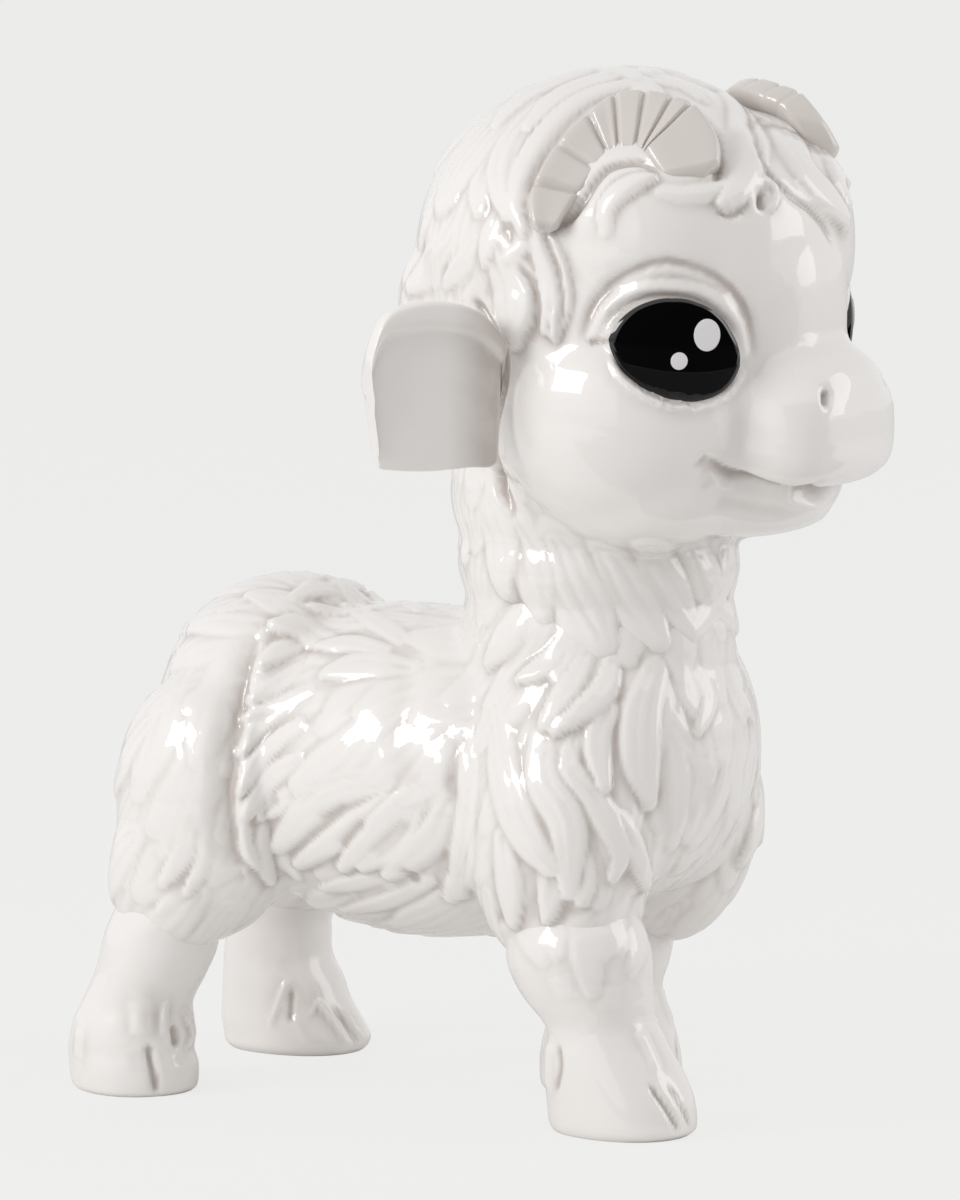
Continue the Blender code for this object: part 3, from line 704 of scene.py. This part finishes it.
eye_rim = np.array([on_eye(x, y) for x, y in EYE_OUTLINE])
eye_middle = (eye_rim.max(0) + eye_rim.min(0)) / 2
eye_arms = eye_rim - eye_middle
eye_turns = np.arctan2(eye_arms[:, 1], eye_arms[:, 0])
eye_reach = np.hypot(eye_arms[:, 0], eye_arms[:, 1])


def rim_reach(turn):
    """The eye's radius in a direction from its middle."""
    return np.interp(turn, eye_turns, eye_reach, period=2 * math.pi)


def dome_drop(u, v):
    """How far the dome has fallen away from its pole."""
    return EYE_DOME_RADIUS - np.sqrt(EYE_DOME_RADIUS ** 2 - u * u - v * v)


# How deep a socket lies under its dome, the shares of the eye's radius between which it rises to
# the face, and how far below the pole its clay is looked for.
SOCKET_DEPTH = 0.0024
SOCKET_FLOOR = 0.96
SOCKET_RIM = 1.06
SOCKET_SEARCH = 0.020


def sink_sockets(piece):
    """Presses the clay under both eyes to below their domes."""
    places, _ = mesh_arrays(piece)
    for side in (-1, 1):
        axes = (eye_out, eye_nose, eye_up, eye_pole)
        out, nose, up, pole = (np.array(on_side(axis, side)) for axis in axes)
        offset = places - pole
        u, v, w = offset @ nose, offset @ up, offset @ out
        arm_u, arm_v = u - eye_middle[0], v - eye_middle[1]
        ratio = np.hypot(arm_u, arm_v) / rim_reach(np.arctan2(arm_v, arm_u))
        near = (w > -SOCKET_SEARCH) & (ratio < SOCKET_RIM)
        floor_height = -dome_drop(np.where(near, u, 0), np.where(near, v, 0)) - SOCKET_DEPTH
        share = np.clip((SOCKET_RIM - ratio) / (SOCKET_RIM - SOCKET_FLOOR), 0, 1)
        shift = np.where(near, share * (floor_height - w), 0)
        places += shift[:, None] * out
    piece.data.vertices.foreach_set("co", places.ravel())
    piece.data.update()


# The head: a second casting, luted onto the neck with its ruff over the join. The face is smooth,
# with lids pressed round the eyes, and the hair is modelled in thick locks that fall from the crown.
head_balls = [
    (0, -46.5, 251, 62, 66, 66),
    (0, -41.5, 270, 61, 61, 57),
    (0, -70, 274, 49, 45, 37, 2.5, 0),
    (0, -84, 256, 30, 33, 38, 2.6, 0),
    (0, -99.5, 235.5, 26.5, 30.5, 13, 2.8, 12),
    (0, -96, 219, 31.5, 34.5, 18.8, 3.8, 0),
    (0, -82, 200, 30, 35, 16, 2.4, 0),
    (0, -34.5, 195.5, 41, 46, 34),
    (0, -34.5, 173, 40, 44, 24),
    (0, -34.5, 150, 38.5, 42.5, 41),
    *both_sides([
        (33, -62, 224, 34, 41, 37),
        (26, -66, 206, 30, 37, 25),
        (25, -69, 279, 35, 36, 34),
        (34, -84, 246, 16, 16, 16),
        (24, -84, 228, 18, 24, 20),
        (27, 1, 252, 20, 15, 24),
    ]),
]
head = clay("head", head_balls, grain=0.00226, passes=10)
head_tree = surface_tree(head)

FORELOCK = (
    # the strands between the horns
    (40, 2.8, (756, 98), (778, 124), (792, 150), (808, 176), (828, 198), (842, 220)),
    (32, 2.4, (776, 94), (804, 122), (822, 150), (836, 178), (845, 204)),
    (28, 2.2, (790, 92), (822, 116), (844, 146), (852, 178)),
    # the locks that turn round the horn's base, with a ring curl
    (34, 3.0, (694, 78), (728, 98), (745, 124), (748, 156), (738, 186), (724, 202)),
    (18, 1.6, (655, 82), (684, 88), (704, 102)),
    (18, 1.6, (662, 191), (686, 195), (712, 191), (722, 184)),
    (9, 2.0, (752, 206), (752, 190), (762, 180), (773, 186), (776, 198), (770, 210)),
    # the lock inside the horn's curl
    (20, 2.6, (606, 230), (607, 208), (620, 192), (638, 182), (652, 179)),
)
FORELOCK_GAPS = (
    # beside the horn's base, along the forelock and under the ring curl
    (14, -3.0, (688, 106), (704, 116), (716, 134), (721, 158), (716, 180)),
    (13, -1.8, (738, 103), (750, 122), (755, 148), (767, 171), (790, 195), (808, 208), (823, 224),
     (831, 242)),
    (9, -0.9, (768, 104), (794, 122), (814, 136), (824, 158)),
    (9, -0.8, (800, 118), (822, 124), (842, 132)),
    (9, -1.2, (718, 213), (732, 216), (744, 208)),
    (12, -4.2, (762, 193), (762, 208)),
    # inside the horn's curl
    (18, -2.8, (548, 230), (568, 219), (582, 201), (592, 184), (606, 168), (622, 162), (642, 161),
     (656, 170)),
)
HAIR = (
    # the lock round the outside of the horn
    (24, 3.4, (640, 84), (600, 92), (570, 108), (545, 135), (524, 170), (517, 205), (526, 230)),
    # the crown
    (40, 2.0, (600, 68), (560, 80), (525, 98), (500, 125)),
    (34, 2.2, (640, 72), (600, 80), (560, 98), (530, 130)),
    (30, 1.8, (650, 70), (690, 74), (730, 86)),
    (30, 1.8, (600, 66), (640, 68), (680, 74)),
    # in front of the ear
    (44, 2.8, (548, 103), (515, 140), (505, 175), (512, 212)),
    (20, 3.0, (530, 200), (540, 232), (555, 262), (562, 300), (556, 336)),
    (20, 2.6, (520, 220), (540, 250), (548, 285), (546, 330)),
    (48, 4.0, (498, 250), (516, 292), (514, 336)),
    (34, 2.4, (500, 148), (484, 180), (482, 212)),
    (24, 2.8, (505, 205), (492, 235), (488, 262)),
    (20, 2.4, (520, 215), (522, 245), (505, 262)),
    # the back of the head
    (44, 2.2, (500, 100), (470, 145), (455, 200)),
    (44, 2.2, (470, 140), (440, 190), (425, 240)),
    (40, 2.6, (470, 200), (450, 240), (430, 270), (415, 285)),
    (28, 2.6, (480, 215), (470, 255), (450, 285)),
    (36, 2.2, (430, 190), (412, 240), (402, 290)),
    (20, 2.4, (490, 265), (478, 285), (470, 300)),
    # the ruff, whose tips turn to the front
    (38, 3.0, (448, 458), (460, 505), (470, 556)),
    (50, 3.2, (482, 470), (500, 530), (509, 588)),
    (50, 2.8, (515, 520), (535, 570), (545, 612)),
    (64, 3.4, (555, 540), (578, 595), (604, 644)),
    (50, 3.4, (605, 550), (630, 598), (658, 640)),
    (46, 3.0, (650, 545), (668, 592), (690, 632)),
    (44, 3.0, (690, 545), (706, 584), (726, 622)),
)
FACE_STROKES = (
    # the mouth, its corner and the hollow under the lip
    (-46, -3.4, (712, 459), (738, 475), (760, 483), (790, 489), (820, 490), (850, 486), (868, 480)),
    (7, -1.0, (722, 466), (740, 477), (760, 485), (790, 491), (815, 492)),
    (40, -1.0, (700, 458), (706, 472), (712, 490)),
    (50, -1.2, (716, 500), (760, 508), (820, 508)),
    # the upper lid, the crease over it, the lower rim and the outer corner
    (22, 2.4, (598, 332), (608, 310), (628, 294), (650, 285), (675, 285), (700, 290), (722, 303),
     (737, 325), (743, 352)),
    (18, -1.3, (583, 340), (590, 312), (610, 285), (640, 268), (668, 261), (702, 269), (732, 288),
     (750, 320), (754, 352)),
    (9, 1.2, (608, 350), (620, 378), (645, 398), (675, 408), (705, 407), (730, 394), (744, 372)),
    (10, -1.6, (588, 342), (598, 341), (608, 338)),
    # the nostril
    (13, -3.2, (826, 390), (826, 405)),
    # beside the cheek: in front of the ear's locks, and down from the ear's root
    (13, -2.0, (544, 230), (550, 246), (560, 272), (564, 304), (560, 334)),
    (13, -1.8, (520, 264), (534, 284), (540, 310), (534, 338)),
    (14, -2.6, (478, 300), (490, 320), (502, 342)),
    (22, -4.5, (500, 335), (503, 365), (499, 400), (497, 440), (503, 475), (514, 508)),
)


# Where the back of the head and the nape begin, and the height that parts them.
HEAD_BACK = -0.030
NAPE_START = -0.020
NAPE_TOP = 0.225


def hair_way(spot):
    """Hair falls from the crown down the back of the head."""
    return Vector((spot.x * 6, 0.25, -1))


def unseen_hair(spot):
    """The back of the head and the nape, which the traced locks leave bare."""
    return spot.y > (HEAD_BACK if spot.z > NAPE_TOP else NAPE_START)


# Hair laid in by rule, as the torso's wool is.
HEAD_FILLING = (unseen_hair, hair_way, 0.0160, 0.038, 0.0115, 0.0021, 5)
# The forelock and the locks at the horns' bases turn to one side, so they have no mirror images.
head_locks = traced_rows(head_tree, FORELOCK) + traced_both(head_tree, HAIR)
head_locks += scatter(head, head_tree, *HEAD_FILLING)
head_strokes = traced_rows(head_tree, FORELOCK_GAPS) + traced_both(head_tree, FACE_STROKES)
comb(head, head_locks, head_strokes)
soften(head, passes=3)
sink_sockets(head)
finish_piece(head, "head", white_glaze)


# The eyes: domed lenses of clay, glazed black, each in its hollow of the head with the lids over
# its edge. Two dots of white enamel are laid on each.
def pulled_ball(name, place, segments, rings):
    """A ball whose points are pulled to where a form wants them.

    The form is given as the place for a share of the way from pole to pole and a turn round it.
    """
    bpy.ops.mesh.primitive_uv_sphere_add(segments=segments, ring_count=rings, radius=1)
    piece = bpy.context.object
    piece.name = name
    piece.data.name = name
    for point in piece.data.vertices:
        share = math.acos(max(-1.0, min(1.0, point.co.z))) / math.pi
        point.co = place(share, math.atan2(point.co.y, point.co.x))
    bpy.ops.object.shade_smooth()
    bpy.ops.object.mode_set(mode="EDIT")
    bpy.ops.mesh.select_all(action="SELECT")
    bpy.ops.mesh.normals_make_consistent(inside=False)
    bpy.ops.object.mode_set(mode="OBJECT")
    return piece


def on_dome(side, u, v, height):
    """A place over the dome of the right eye (-1) or the left one (1)."""
    place = eye_pole + eye_nose * u + eye_up * v + eye_out * (height - float(dome_drop(u, v)))
    return on_side(place, side)


# The lens: how much wider it is than its outline, where its edge turns down and how far, and how
# deep its back lies. Its front takes this share of the way from pole to pole.
LENS_SPREAD = 1.005
LENS_EDGE = 0.08
LENS_EDGE_DROP = 0.0007
LENS_DEPTH = 0.0035
LENS_FRONT = 0.8


def lens(side):
    """The dome of an eye with its rim and its flat back."""
    def place(share, turn):
        reach = float(rim_reach(turn)) * LENS_SPREAD
        if share < LENS_FRONT:
            ring = math.sin(share / LENS_FRONT * math.pi / 2)
            height = -LENS_EDGE_DROP * max(0.0, 1 - (1 - ring) / LENS_EDGE) ** 2
        else:
            ring = (1 - share) / (1 - LENS_FRONT)
            height = -LENS_DEPTH
        u = eye_middle[0] + reach * ring * math.cos(turn)
        v = eye_middle[1] + reach * ring * math.sin(turn)
        return on_dome(side, u, v, height)
    return place


# How high a dot's middle lies over the dome, how far its top and underside lie from that, and how
# steep its edge is.
DOT_HEIGHT = 0.0001
DOT_THICK = 0.0005
DOT_EDGE = 1.6


def dot(side, centre, half_long, half_high):
    """A flat dot of enamel with a rounded edge."""
    def place(share, turn):
        ring = min(1.0, math.sin(share * math.pi) * DOT_EDGE)
        height = DOT_HEIGHT + DOT_THICK * math.cos(share * math.pi)
        u = centre[0] + half_long * ring * math.cos(turn)
        v = centre[1] + half_high * ring * math.sin(turn)
        return on_dome(side, u, v, height)
    return place


# Each dot: the pixel at its middle, its two radii, and how many segments and rings it has.
DOTS = {
    "catchlight_large_": ((707, 335), 0.0042, 0.0049, 40, 24),
    "catchlight_small_": ((679, 361), 0.0026, 0.0027, 32, 20),
}

SIDES = ((-1, "right"), (1, "left"))

black_glaze = glazed("black glaze", "#050506", "#050506", roughness=0.03, ripple=0.03)
white_enamel = glazed("white enamel", "#E6E3E4", "#E6E3E4", roughness=0.30, ripple=0.05)
for side, word in SIDES:
    eye = pulled_ball("eye_" + word, lens(side), segments=72, rings=48)
    finish_piece(eye, "eye_" + word, black_glaze)
    for name, (pixel, half_long, half_high, segments, rings) in DOTS.items():
        form = dot(side, on_eye(*pixel), half_long, half_high)
        light = pulled_ball(name + word, form, segments, rings)
        finish_piece(light, name + word, white_enamel)


# The horns: ribbed bands that curl back over the hair, luted on and glazed thinly, so the warm body
# shows through; their colour is also darker than the white glaze, as painted shade. Each station is
# a cut across the band: the pixels at its outer and inner edge.
HORN_STATIONS = (
    ((716, 184), (668, 196)),
    ((720, 168), (657, 182)),
    ((718, 150), (650, 172)),
    ((708, 130), (646, 165)),
    ((692, 112), (643, 161)),
    ((673, 102), (640, 159)),
    ((645, 94), (634, 156)),
    ((614, 95), (618, 157)),
    ((587, 113), (610, 162)),
    ((556, 144), (600, 172)),
    ((533, 184), (580, 194)),
    ((530, 208), (567, 212)),
    ((534, 230), (556, 228)),
)
# The stations that a groove runs over, its half-width in stations, its depth, and half the band's
# thickness.
HORN_GROOVES = (4, 5, 6, 7, 8, 9, 10)
GROOVE_WIDTH = 0.10
GROOVE_DEPTH = 0.0016
HORN_DEPTH = 0.0065
# How much thinner the tip is than the base, how far the outer and inner edges fall away, how far
# the face stands over them, and how much narrower the band is at a groove.
HORN_TAPER = 0.45
HORN_EDGE = 0.0016
HORN_FACE = 0.0010
HORN_WAIST = 0.03
# How far the base stands off the head beyond the tip, the share of the way at which that ends, and
# the share over which it falls.
BASE_STAND = 0.0063
STAND_END = 0.62
STAND_RUN = 0.30
# How far the horn's middle plane lies over the skull, and the band below that plane.
HORN_SINK = 0.0020

horn_out = skull_way(57, 28)
horn_middle = SKULL + skull_way(57, 47) * (SKULL_RADIUS + HORN_SINK)


def on_plane(x, y, middle, facing):
    """Where a line of sight meets a plane."""
    sight = line_of_sight(x, y)
    return CAMERA_PLACE + sight * ((middle - CAMERA_PLACE).dot(facing) / sight.dot(facing))


def at_share(path, share):
    """The place at a share of the way along a path."""
    way = share * (len(path) - 1)
    first = min(int(way), len(path) - 2)
    return path[first].lerp(path[first + 1], way - first)


def squared(value, power):
    """A sine or a cosine that makes a section squarer than a round one, the lower the power is."""
    return math.copysign(abs(value) ** power, value)


def round_end(share, start, end):
    """Rounds off the two ends of a form over these shares of its length."""
    return math.sqrt(max(0.0, 1 - (1 - min(1.0, share / start, (1 - share) / end)) ** 2))


def edge_path(pixels, middle, facing, steps):
    """A smooth edge of a flat form, through the pixels of its stations in so many steps for each."""
    return smooth_path([on_plane(x, y, middle, facing) for x, y in pixels], steps * (len(pixels) - 1))


outer_pixels, inner_pixels = zip(*HORN_STATIONS)
horn_outer = edge_path(outer_pixels, horn_middle, horn_out, steps=8)
horn_inner = edge_path(inner_pixels, horn_middle, horn_out, steps=8)


def horn_form(side):
    """A flat-faced band with a rounded outer edge and a groove between each two ribs."""
    def place(share, turn):
        outer = at_share(horn_outer, share)
        inner = at_share(horn_inner, share)
        station = share * (len(HORN_STATIONS) - 1)
        near_groove = min(abs(station - g) for g in HORN_GROOVES)
        cut = math.exp(-(near_groove / GROOVE_WIDTH) ** 2)
        cap = round_end(share, start=0.07, end=0.03)
        across = squared(math.cos(turn), 0.75)
        depth = squared(math.sin(turn), 0.55)
        middle = (outer + inner) / 2
        half = (outer - inner) / 2 * (1 - HORN_WAIST * cut)
        lift = HORN_DEPTH * (1 - HORN_TAPER * share) * depth * cap
        if depth > 0:
            carved = GROOVE_DEPTH * cut + HORN_EDGE * (1 - across ** 2) - HORN_FACE
            lift -= carved * min(1.0, depth * 1.5)
        stand = BASE_STAND * min(1.0, max(0.0, (STAND_END - share) / STAND_RUN)) - HORN_SINK
        return on_side(middle + half * across * cap + horn_out * (lift + stand), side)
    return place


# Painted shade: the horns' colour is darker than the white glaze, besides the warm tint of the thin glaze.
horn_glaze_and_shade = glazed("thin glaze on the horns", "#D8D1CC", "#B9B0AA", roughness=0.35, ripple=0.20)
for side, word in SIDES:
    horn = pulled_ball("horn_" + word, horn_form(side), segments=40, rings=193)
    finish_piece(horn, "horn_" + word, horn_glaze_and_shade)


# The ears: dished paddles with a rolled upper edge, luted into the hair behind the cheek.
# Each station is a cut across the ear: the pixels at its upper and lower edge.
EAR_STATIONS = (
    ((508, 345), (500, 462)),
    ((494, 326), (490, 468)),
    ((478, 311), (475, 468)),
    ((455, 303), (455, 470)),
    ((430, 301), (432, 472)),
    ((404, 305), (408, 472)),
    ((386, 314), (392, 471)),
    ((375, 334), (384, 470)),
    ((368, 366), (380, 467)),
    ((371, 400), (378, 452)),
)
# How far the ears are turned back, the half-thickness of the flap, what its rolled upper edge and
# its outer end add to that, and how deep its face is dished.
EAR_TURN = math.radians(38)
EAR_THICK = 0.0026
EAR_ROLL = 0.0034
EAR_LIP = 0.0010
EAR_DISH = 0.0040
# The share of the half-height that the rolled edge takes, the share of the length that the outer
# end takes, and how far the root sinks into the skull.
ROLL_SHARE = 0.40
LIP_SHARE = 0.12
EAR_SINK = 0.0015

ear_along = Vector((-math.cos(EAR_TURN), math.sin(EAR_TURN), 0))
ear_front = Vector((-math.sin(EAR_TURN), -math.cos(EAR_TURN), 0))
ear_root = SKULL + skull_way(94, -7) * (SKULL_RADIUS - EAR_SINK)
upper_pixels, lower_pixels = zip(*EAR_STATIONS)
ear_top = edge_path(upper_pixels, ear_root, ear_front, steps=6)
ear_bottom = edge_path(lower_pixels, ear_root, ear_front, steps=6)


def ear_form(side):
    """A thin dished flap, thick along its upper edge."""
    def place(share, turn):
        top = at_share(ear_top, share)
        bottom = at_share(ear_bottom, share)
        rise = squared(math.sin(turn), 0.7)
        face = squared(math.cos(turn), 0.5)
        cap = round_end(share, start=0.06, end=0.06)
        roll = max(0.0, 1 - (1 - rise) / ROLL_SHARE)
        lip = max(0.0, 1 - (1 - share) / LIP_SHARE)
        thick = EAR_THICK + EAR_ROLL * math.sin(min(1.0, roll * 1.8) * math.pi / 2) + EAR_LIP * lip
        dish = -EAR_DISH * (1 - max(roll, lip, 0.55 * max(0.0, -rise)) ** 1.2)
        made = (top + bottom) / 2 + (top - bottom) / 2 * rise
        return on_side(made + ear_front * (dish + thick * face * max(cap, 0.05)), side)
    return place


# Painted shade: the ear's dish is darkened a little, and much more within this distance of its root, where
# shade falls in the crevice by the cheek.
DISH_SHADE = 0.05
ROOT_SHADE = 1.1
ROOT_SHADE_REACH = 0.018
for side, word in SIDES:
    ear = pulled_ball("ear_" + word, ear_form(side), segments=64, rings=72)
    pool_and_shade = []
    for point in ear.data.vertices:
        reach = abs((on_side(point.co, side) - ear_root).dot(ear_along))
        facing = max(0.0, point.normal.dot(on_side(ear_front, side)))
        pool_and_shade.append(facing * (DISH_SHADE + ROOT_SHADE * max(0.0, 1 - reach / ROOT_SHADE_REACH)))
    # The painted shade goes into the same attribute that darkens the hollows of the white glaze.
    ear.data.attributes.new("pool_and_shade", "FLOAT", "POINT").data.foreach_set("value", pool_and_shade)
    finish_piece(ear, "ear_" + word, white_glaze)


# The legs: solid castings with a fat pastern, a cloven hoof of two rounded toes and small dewclaws,
# luted under the wool of the body.
# Each row is a cut across a leg in millimetres: height, middle, half-width across and along the toes.
FORELEG_RIGHT = (
    (0, -30, -61.5, 17.8, 22),
    (3, -30, -62, 19.2, 24.3),
    (11.5, -30, -61, 19.2, 24.3),
    (19, -30.3, -59, 18.8, 22.5),
    (25, -30.8, -57.5, 18, 20),
    (30, -31, -56.5, 17.3, 17.8),
    (34.6, -31.5, -54.3, 17, 17.5),
    (41, -32, -51, 19, 20),
    (47, -32.5, -49, 20.5, 21.5),
    (53, -33, -48, 21.2, 22.5),
    (60, -33, -47.5, 20.6, 21.8),
    (68, -32.5, -46.5, 17.5, 19),
    (76, -32, -46, 13, 14),
)
# The left foreleg stands farther back, leans less and is a little slimmer than the right one.
LEFT_PLACE = (30, -21.5)
LEFT_LEAN = (-0.3, 0.1)
LEFT_SIZE = 0.94
_, RIGHT_X, RIGHT_Y, _, _ = FORELEG_RIGHT[0]
FORELEG_LEFT = []
for z, x, y, wide, long in FORELEG_RIGHT:
    x = LEFT_PLACE[0] + (x - RIGHT_X) * LEFT_LEAN[0]
    y = LEFT_PLACE[1] + (y - RIGHT_Y) * LEFT_LEAN[1]
    FORELEG_LEFT.append((z, x, y, wide * LEFT_SIZE, long * LEFT_SIZE))
HIND_LEG_RIGHT = (
    (0, -45, 110.4, 17.8, 20),
    (2, -45, 110.4, 19.3, 21.5),
    (8.3, -45, 110.7, 19.8, 22),
    (13.2, -45, 111.6, 19.2, 21.5),
    (17.7, -45, 110.8, 19.4, 20.5),
    (22.8, -45, 110.4, 18.6, 19.2),
    (28.6, -44.8, 108.9, 17.2, 17.6),
    (36.6, -44.5, 104.8, 17.4, 17.8),
    (43.7, -44, 102, 18, 18.2),
    (50, -43.5, 100.5, 18, 18.4),
    (56, -43, 98.5, 17.4, 18.2),
    (64, -43, 97, 15, 16),
)
HIND_LEG_LEFT = (
    (0, 45, 107.5, 17.8, 22.5),
    (2, 45, 107.5, 19.3, 24.5),
    (5, 45, 107.5, 19.5, 25),
    (10, 45, 109.6, 19.2, 23.8),
    (16, 45, 111.5, 18.6, 21.5),
    (23.4, 44.5, 112.5, 18, 19.8),
    (30.7, 44, 114, 17, 17.6),
    (38.3, 43.5, 113.5, 16.9, 16.9),
    (43, 43, 113, 17, 17),
    (50, 43, 112, 19, 19.5),
    (58, 43, 111, 19.5, 20),
    (66, 43, 110, 16, 17),
)
# Each leg's cuts, and how far its toes turn to the kid's right, in degrees.
LEGS = {
    "foreleg_right": (FORELEG_RIGHT, 8),
    "foreleg_left": (FORELEG_LEFT, -8),
    "hind_leg_right": (HIND_LEG_RIGHT, 30),
    "hind_leg_left": (HIND_LEG_LEFT, 0),
}


# The share of the way from pole to pole that closes the top, and as much the sole.
LEG_END = 0.08
LEG_STEPS = 88


def leg_form(rows, turned):
    """A post through the cuts, with smooth sides and a flat sole."""
    table = smooth_path([(z, x, y) for z, x, y, _, _ in rows], LEG_STEPS)
    sizes = smooth_path([(z, wide, long) for z, _, _, wide, long in rows], LEG_STEPS)
    toe = Vector((-math.sin(math.radians(turned)), -math.cos(math.radians(turned))))
    side = Vector((-toe.y, toe.x))

    def place(share, turn):
        rise = min(1.0, max(0.0, (1 - LEG_END - share) / (1 - 2 * LEG_END)))
        z, x, y = at_share(table, rise)
        _, wide, long = at_share(sizes, rise)
        close = min(1.0, share / LEG_END, (1 - share) / LEG_END)
        across = squared(math.cos(turn), 0.92) * wide * close
        along = squared(math.sin(turn), 0.92) * long * close
        return Vector((x + side.x * across + toe.x * along, y + side.y * across + toe.y * along, z)) * MM
    return place


# The clefts and dewclaws of the hooves, as rows of strokes. The left foreleg's are the right one's.
HOOF_STROKES = {
    "foreleg_right": (
        (10, -1.5, (650, 1086), (664, 1106), (678, 1130)),
        (9, -1.1, (668, 1084), (680, 1104), (690, 1126)),
        (26, 1.0, (640, 1030), (650, 1052), (658, 1070)),
        (26, 1.4, (551, 1042), (549, 1065), (549, 1090)),
        (12, -1.0, (559, 1046), (560, 1068), (556, 1090)),
        (44, 0.5, (560, 975), (570, 1000)),
        (36, 0.4, (610, 985), (608, 1010)),
    ),
    "hind_leg_right": (
        (14, -2.2, (148, 1046), (153, 1068), (156, 1092)),
        (12, 1.8, (165, 1004), (165, 1034)),
        (12, 2.0, (184, 1012), (190, 1030), (187, 1048)),
        (13, -2.2, (174, 1026), (176, 1046)),
        (30, 1.0, (80, 1030), (78, 1060)),
        (34, 1.2, (140, 1000), (142, 1035)),
    ),
    "hind_leg_left": (
        (12, -1.0, (292, 990), (290, 1022)),
        (10, 1.2, (288, 980), (280, 1000), (270, 1026)),
        (10, 1.4, (316, 1001), (330, 1020), (345, 1042)),
        (8, 1.0, (317, 1001), (308, 1018)),
        (12, -1.4, (334, 1006), (346, 1024), (356, 1044)),
        (12, 1.4, (344, 1008), (354, 1024), (364, 1040)),
    ),
}
# The last tips of the wool lie low on the near foreleg.
LEG_WOOL = (
    (30, 0.7, (516, 890), (526, 922), (542, 960)),
    (38, 0.7, (544, 890), (550, 925), (556, 950)),
    (30, 0.8, (578, 890), (584, 940), (592, 990)),
    (40, 0.7, (612, 890), (610, 925), (600, 952)),
    (30, 0.7, (642, 890), (640, 930), (632, 968)),
)


def moved_strokes(tree, strokes, shift):
    """A leg's strokes, mirrored and moved to another leg."""
    return [([tree.find_nearest(place + shift)[0] for place in flipped(path)], half, height)
            for path, half, height in strokes]


for name, (rows, turned) in LEGS.items():
    leg = pulled_ball(name, leg_form(rows, turned), segments=128, rings=96)
    leg_tree = surface_tree(leg)
    leg_locks = []
    if name == "foreleg_left":
        back = Vector((0, LEFT_PLACE[1] - RIGHT_Y, 0)) * MM
        strokes = moved_strokes(leg_tree, foreleg_strokes, back)
    else:
        strokes = traced_rows(leg_tree, HOOF_STROKES[name])
    if name == "foreleg_right":
        leg_locks = traced_rows(leg_tree, LEG_WOOL)
        foreleg_strokes = strokes
    comb(leg, leg_locks, strokes)
    soften(leg, passes=1)
    for point in leg.data.vertices:
        point.co.z = max(point.co.z, 0.0)
    finish_piece(leg, name, white_glaze)


# The tail: a short tuft of three locks on the rump, modelled with the body's wool.
tail_balls = [
    (0, 116, 112, 7, 8, 8),
    (0, 122, 107, 7.2, 7, 9, 2, 30),
    (0, 126, 100, 6, 5, 8, 2, 30),
]
tail = clay("tail", tail_balls, grain=0.0016, passes=3)
finish_piece(tail, "tail", white_glaze)
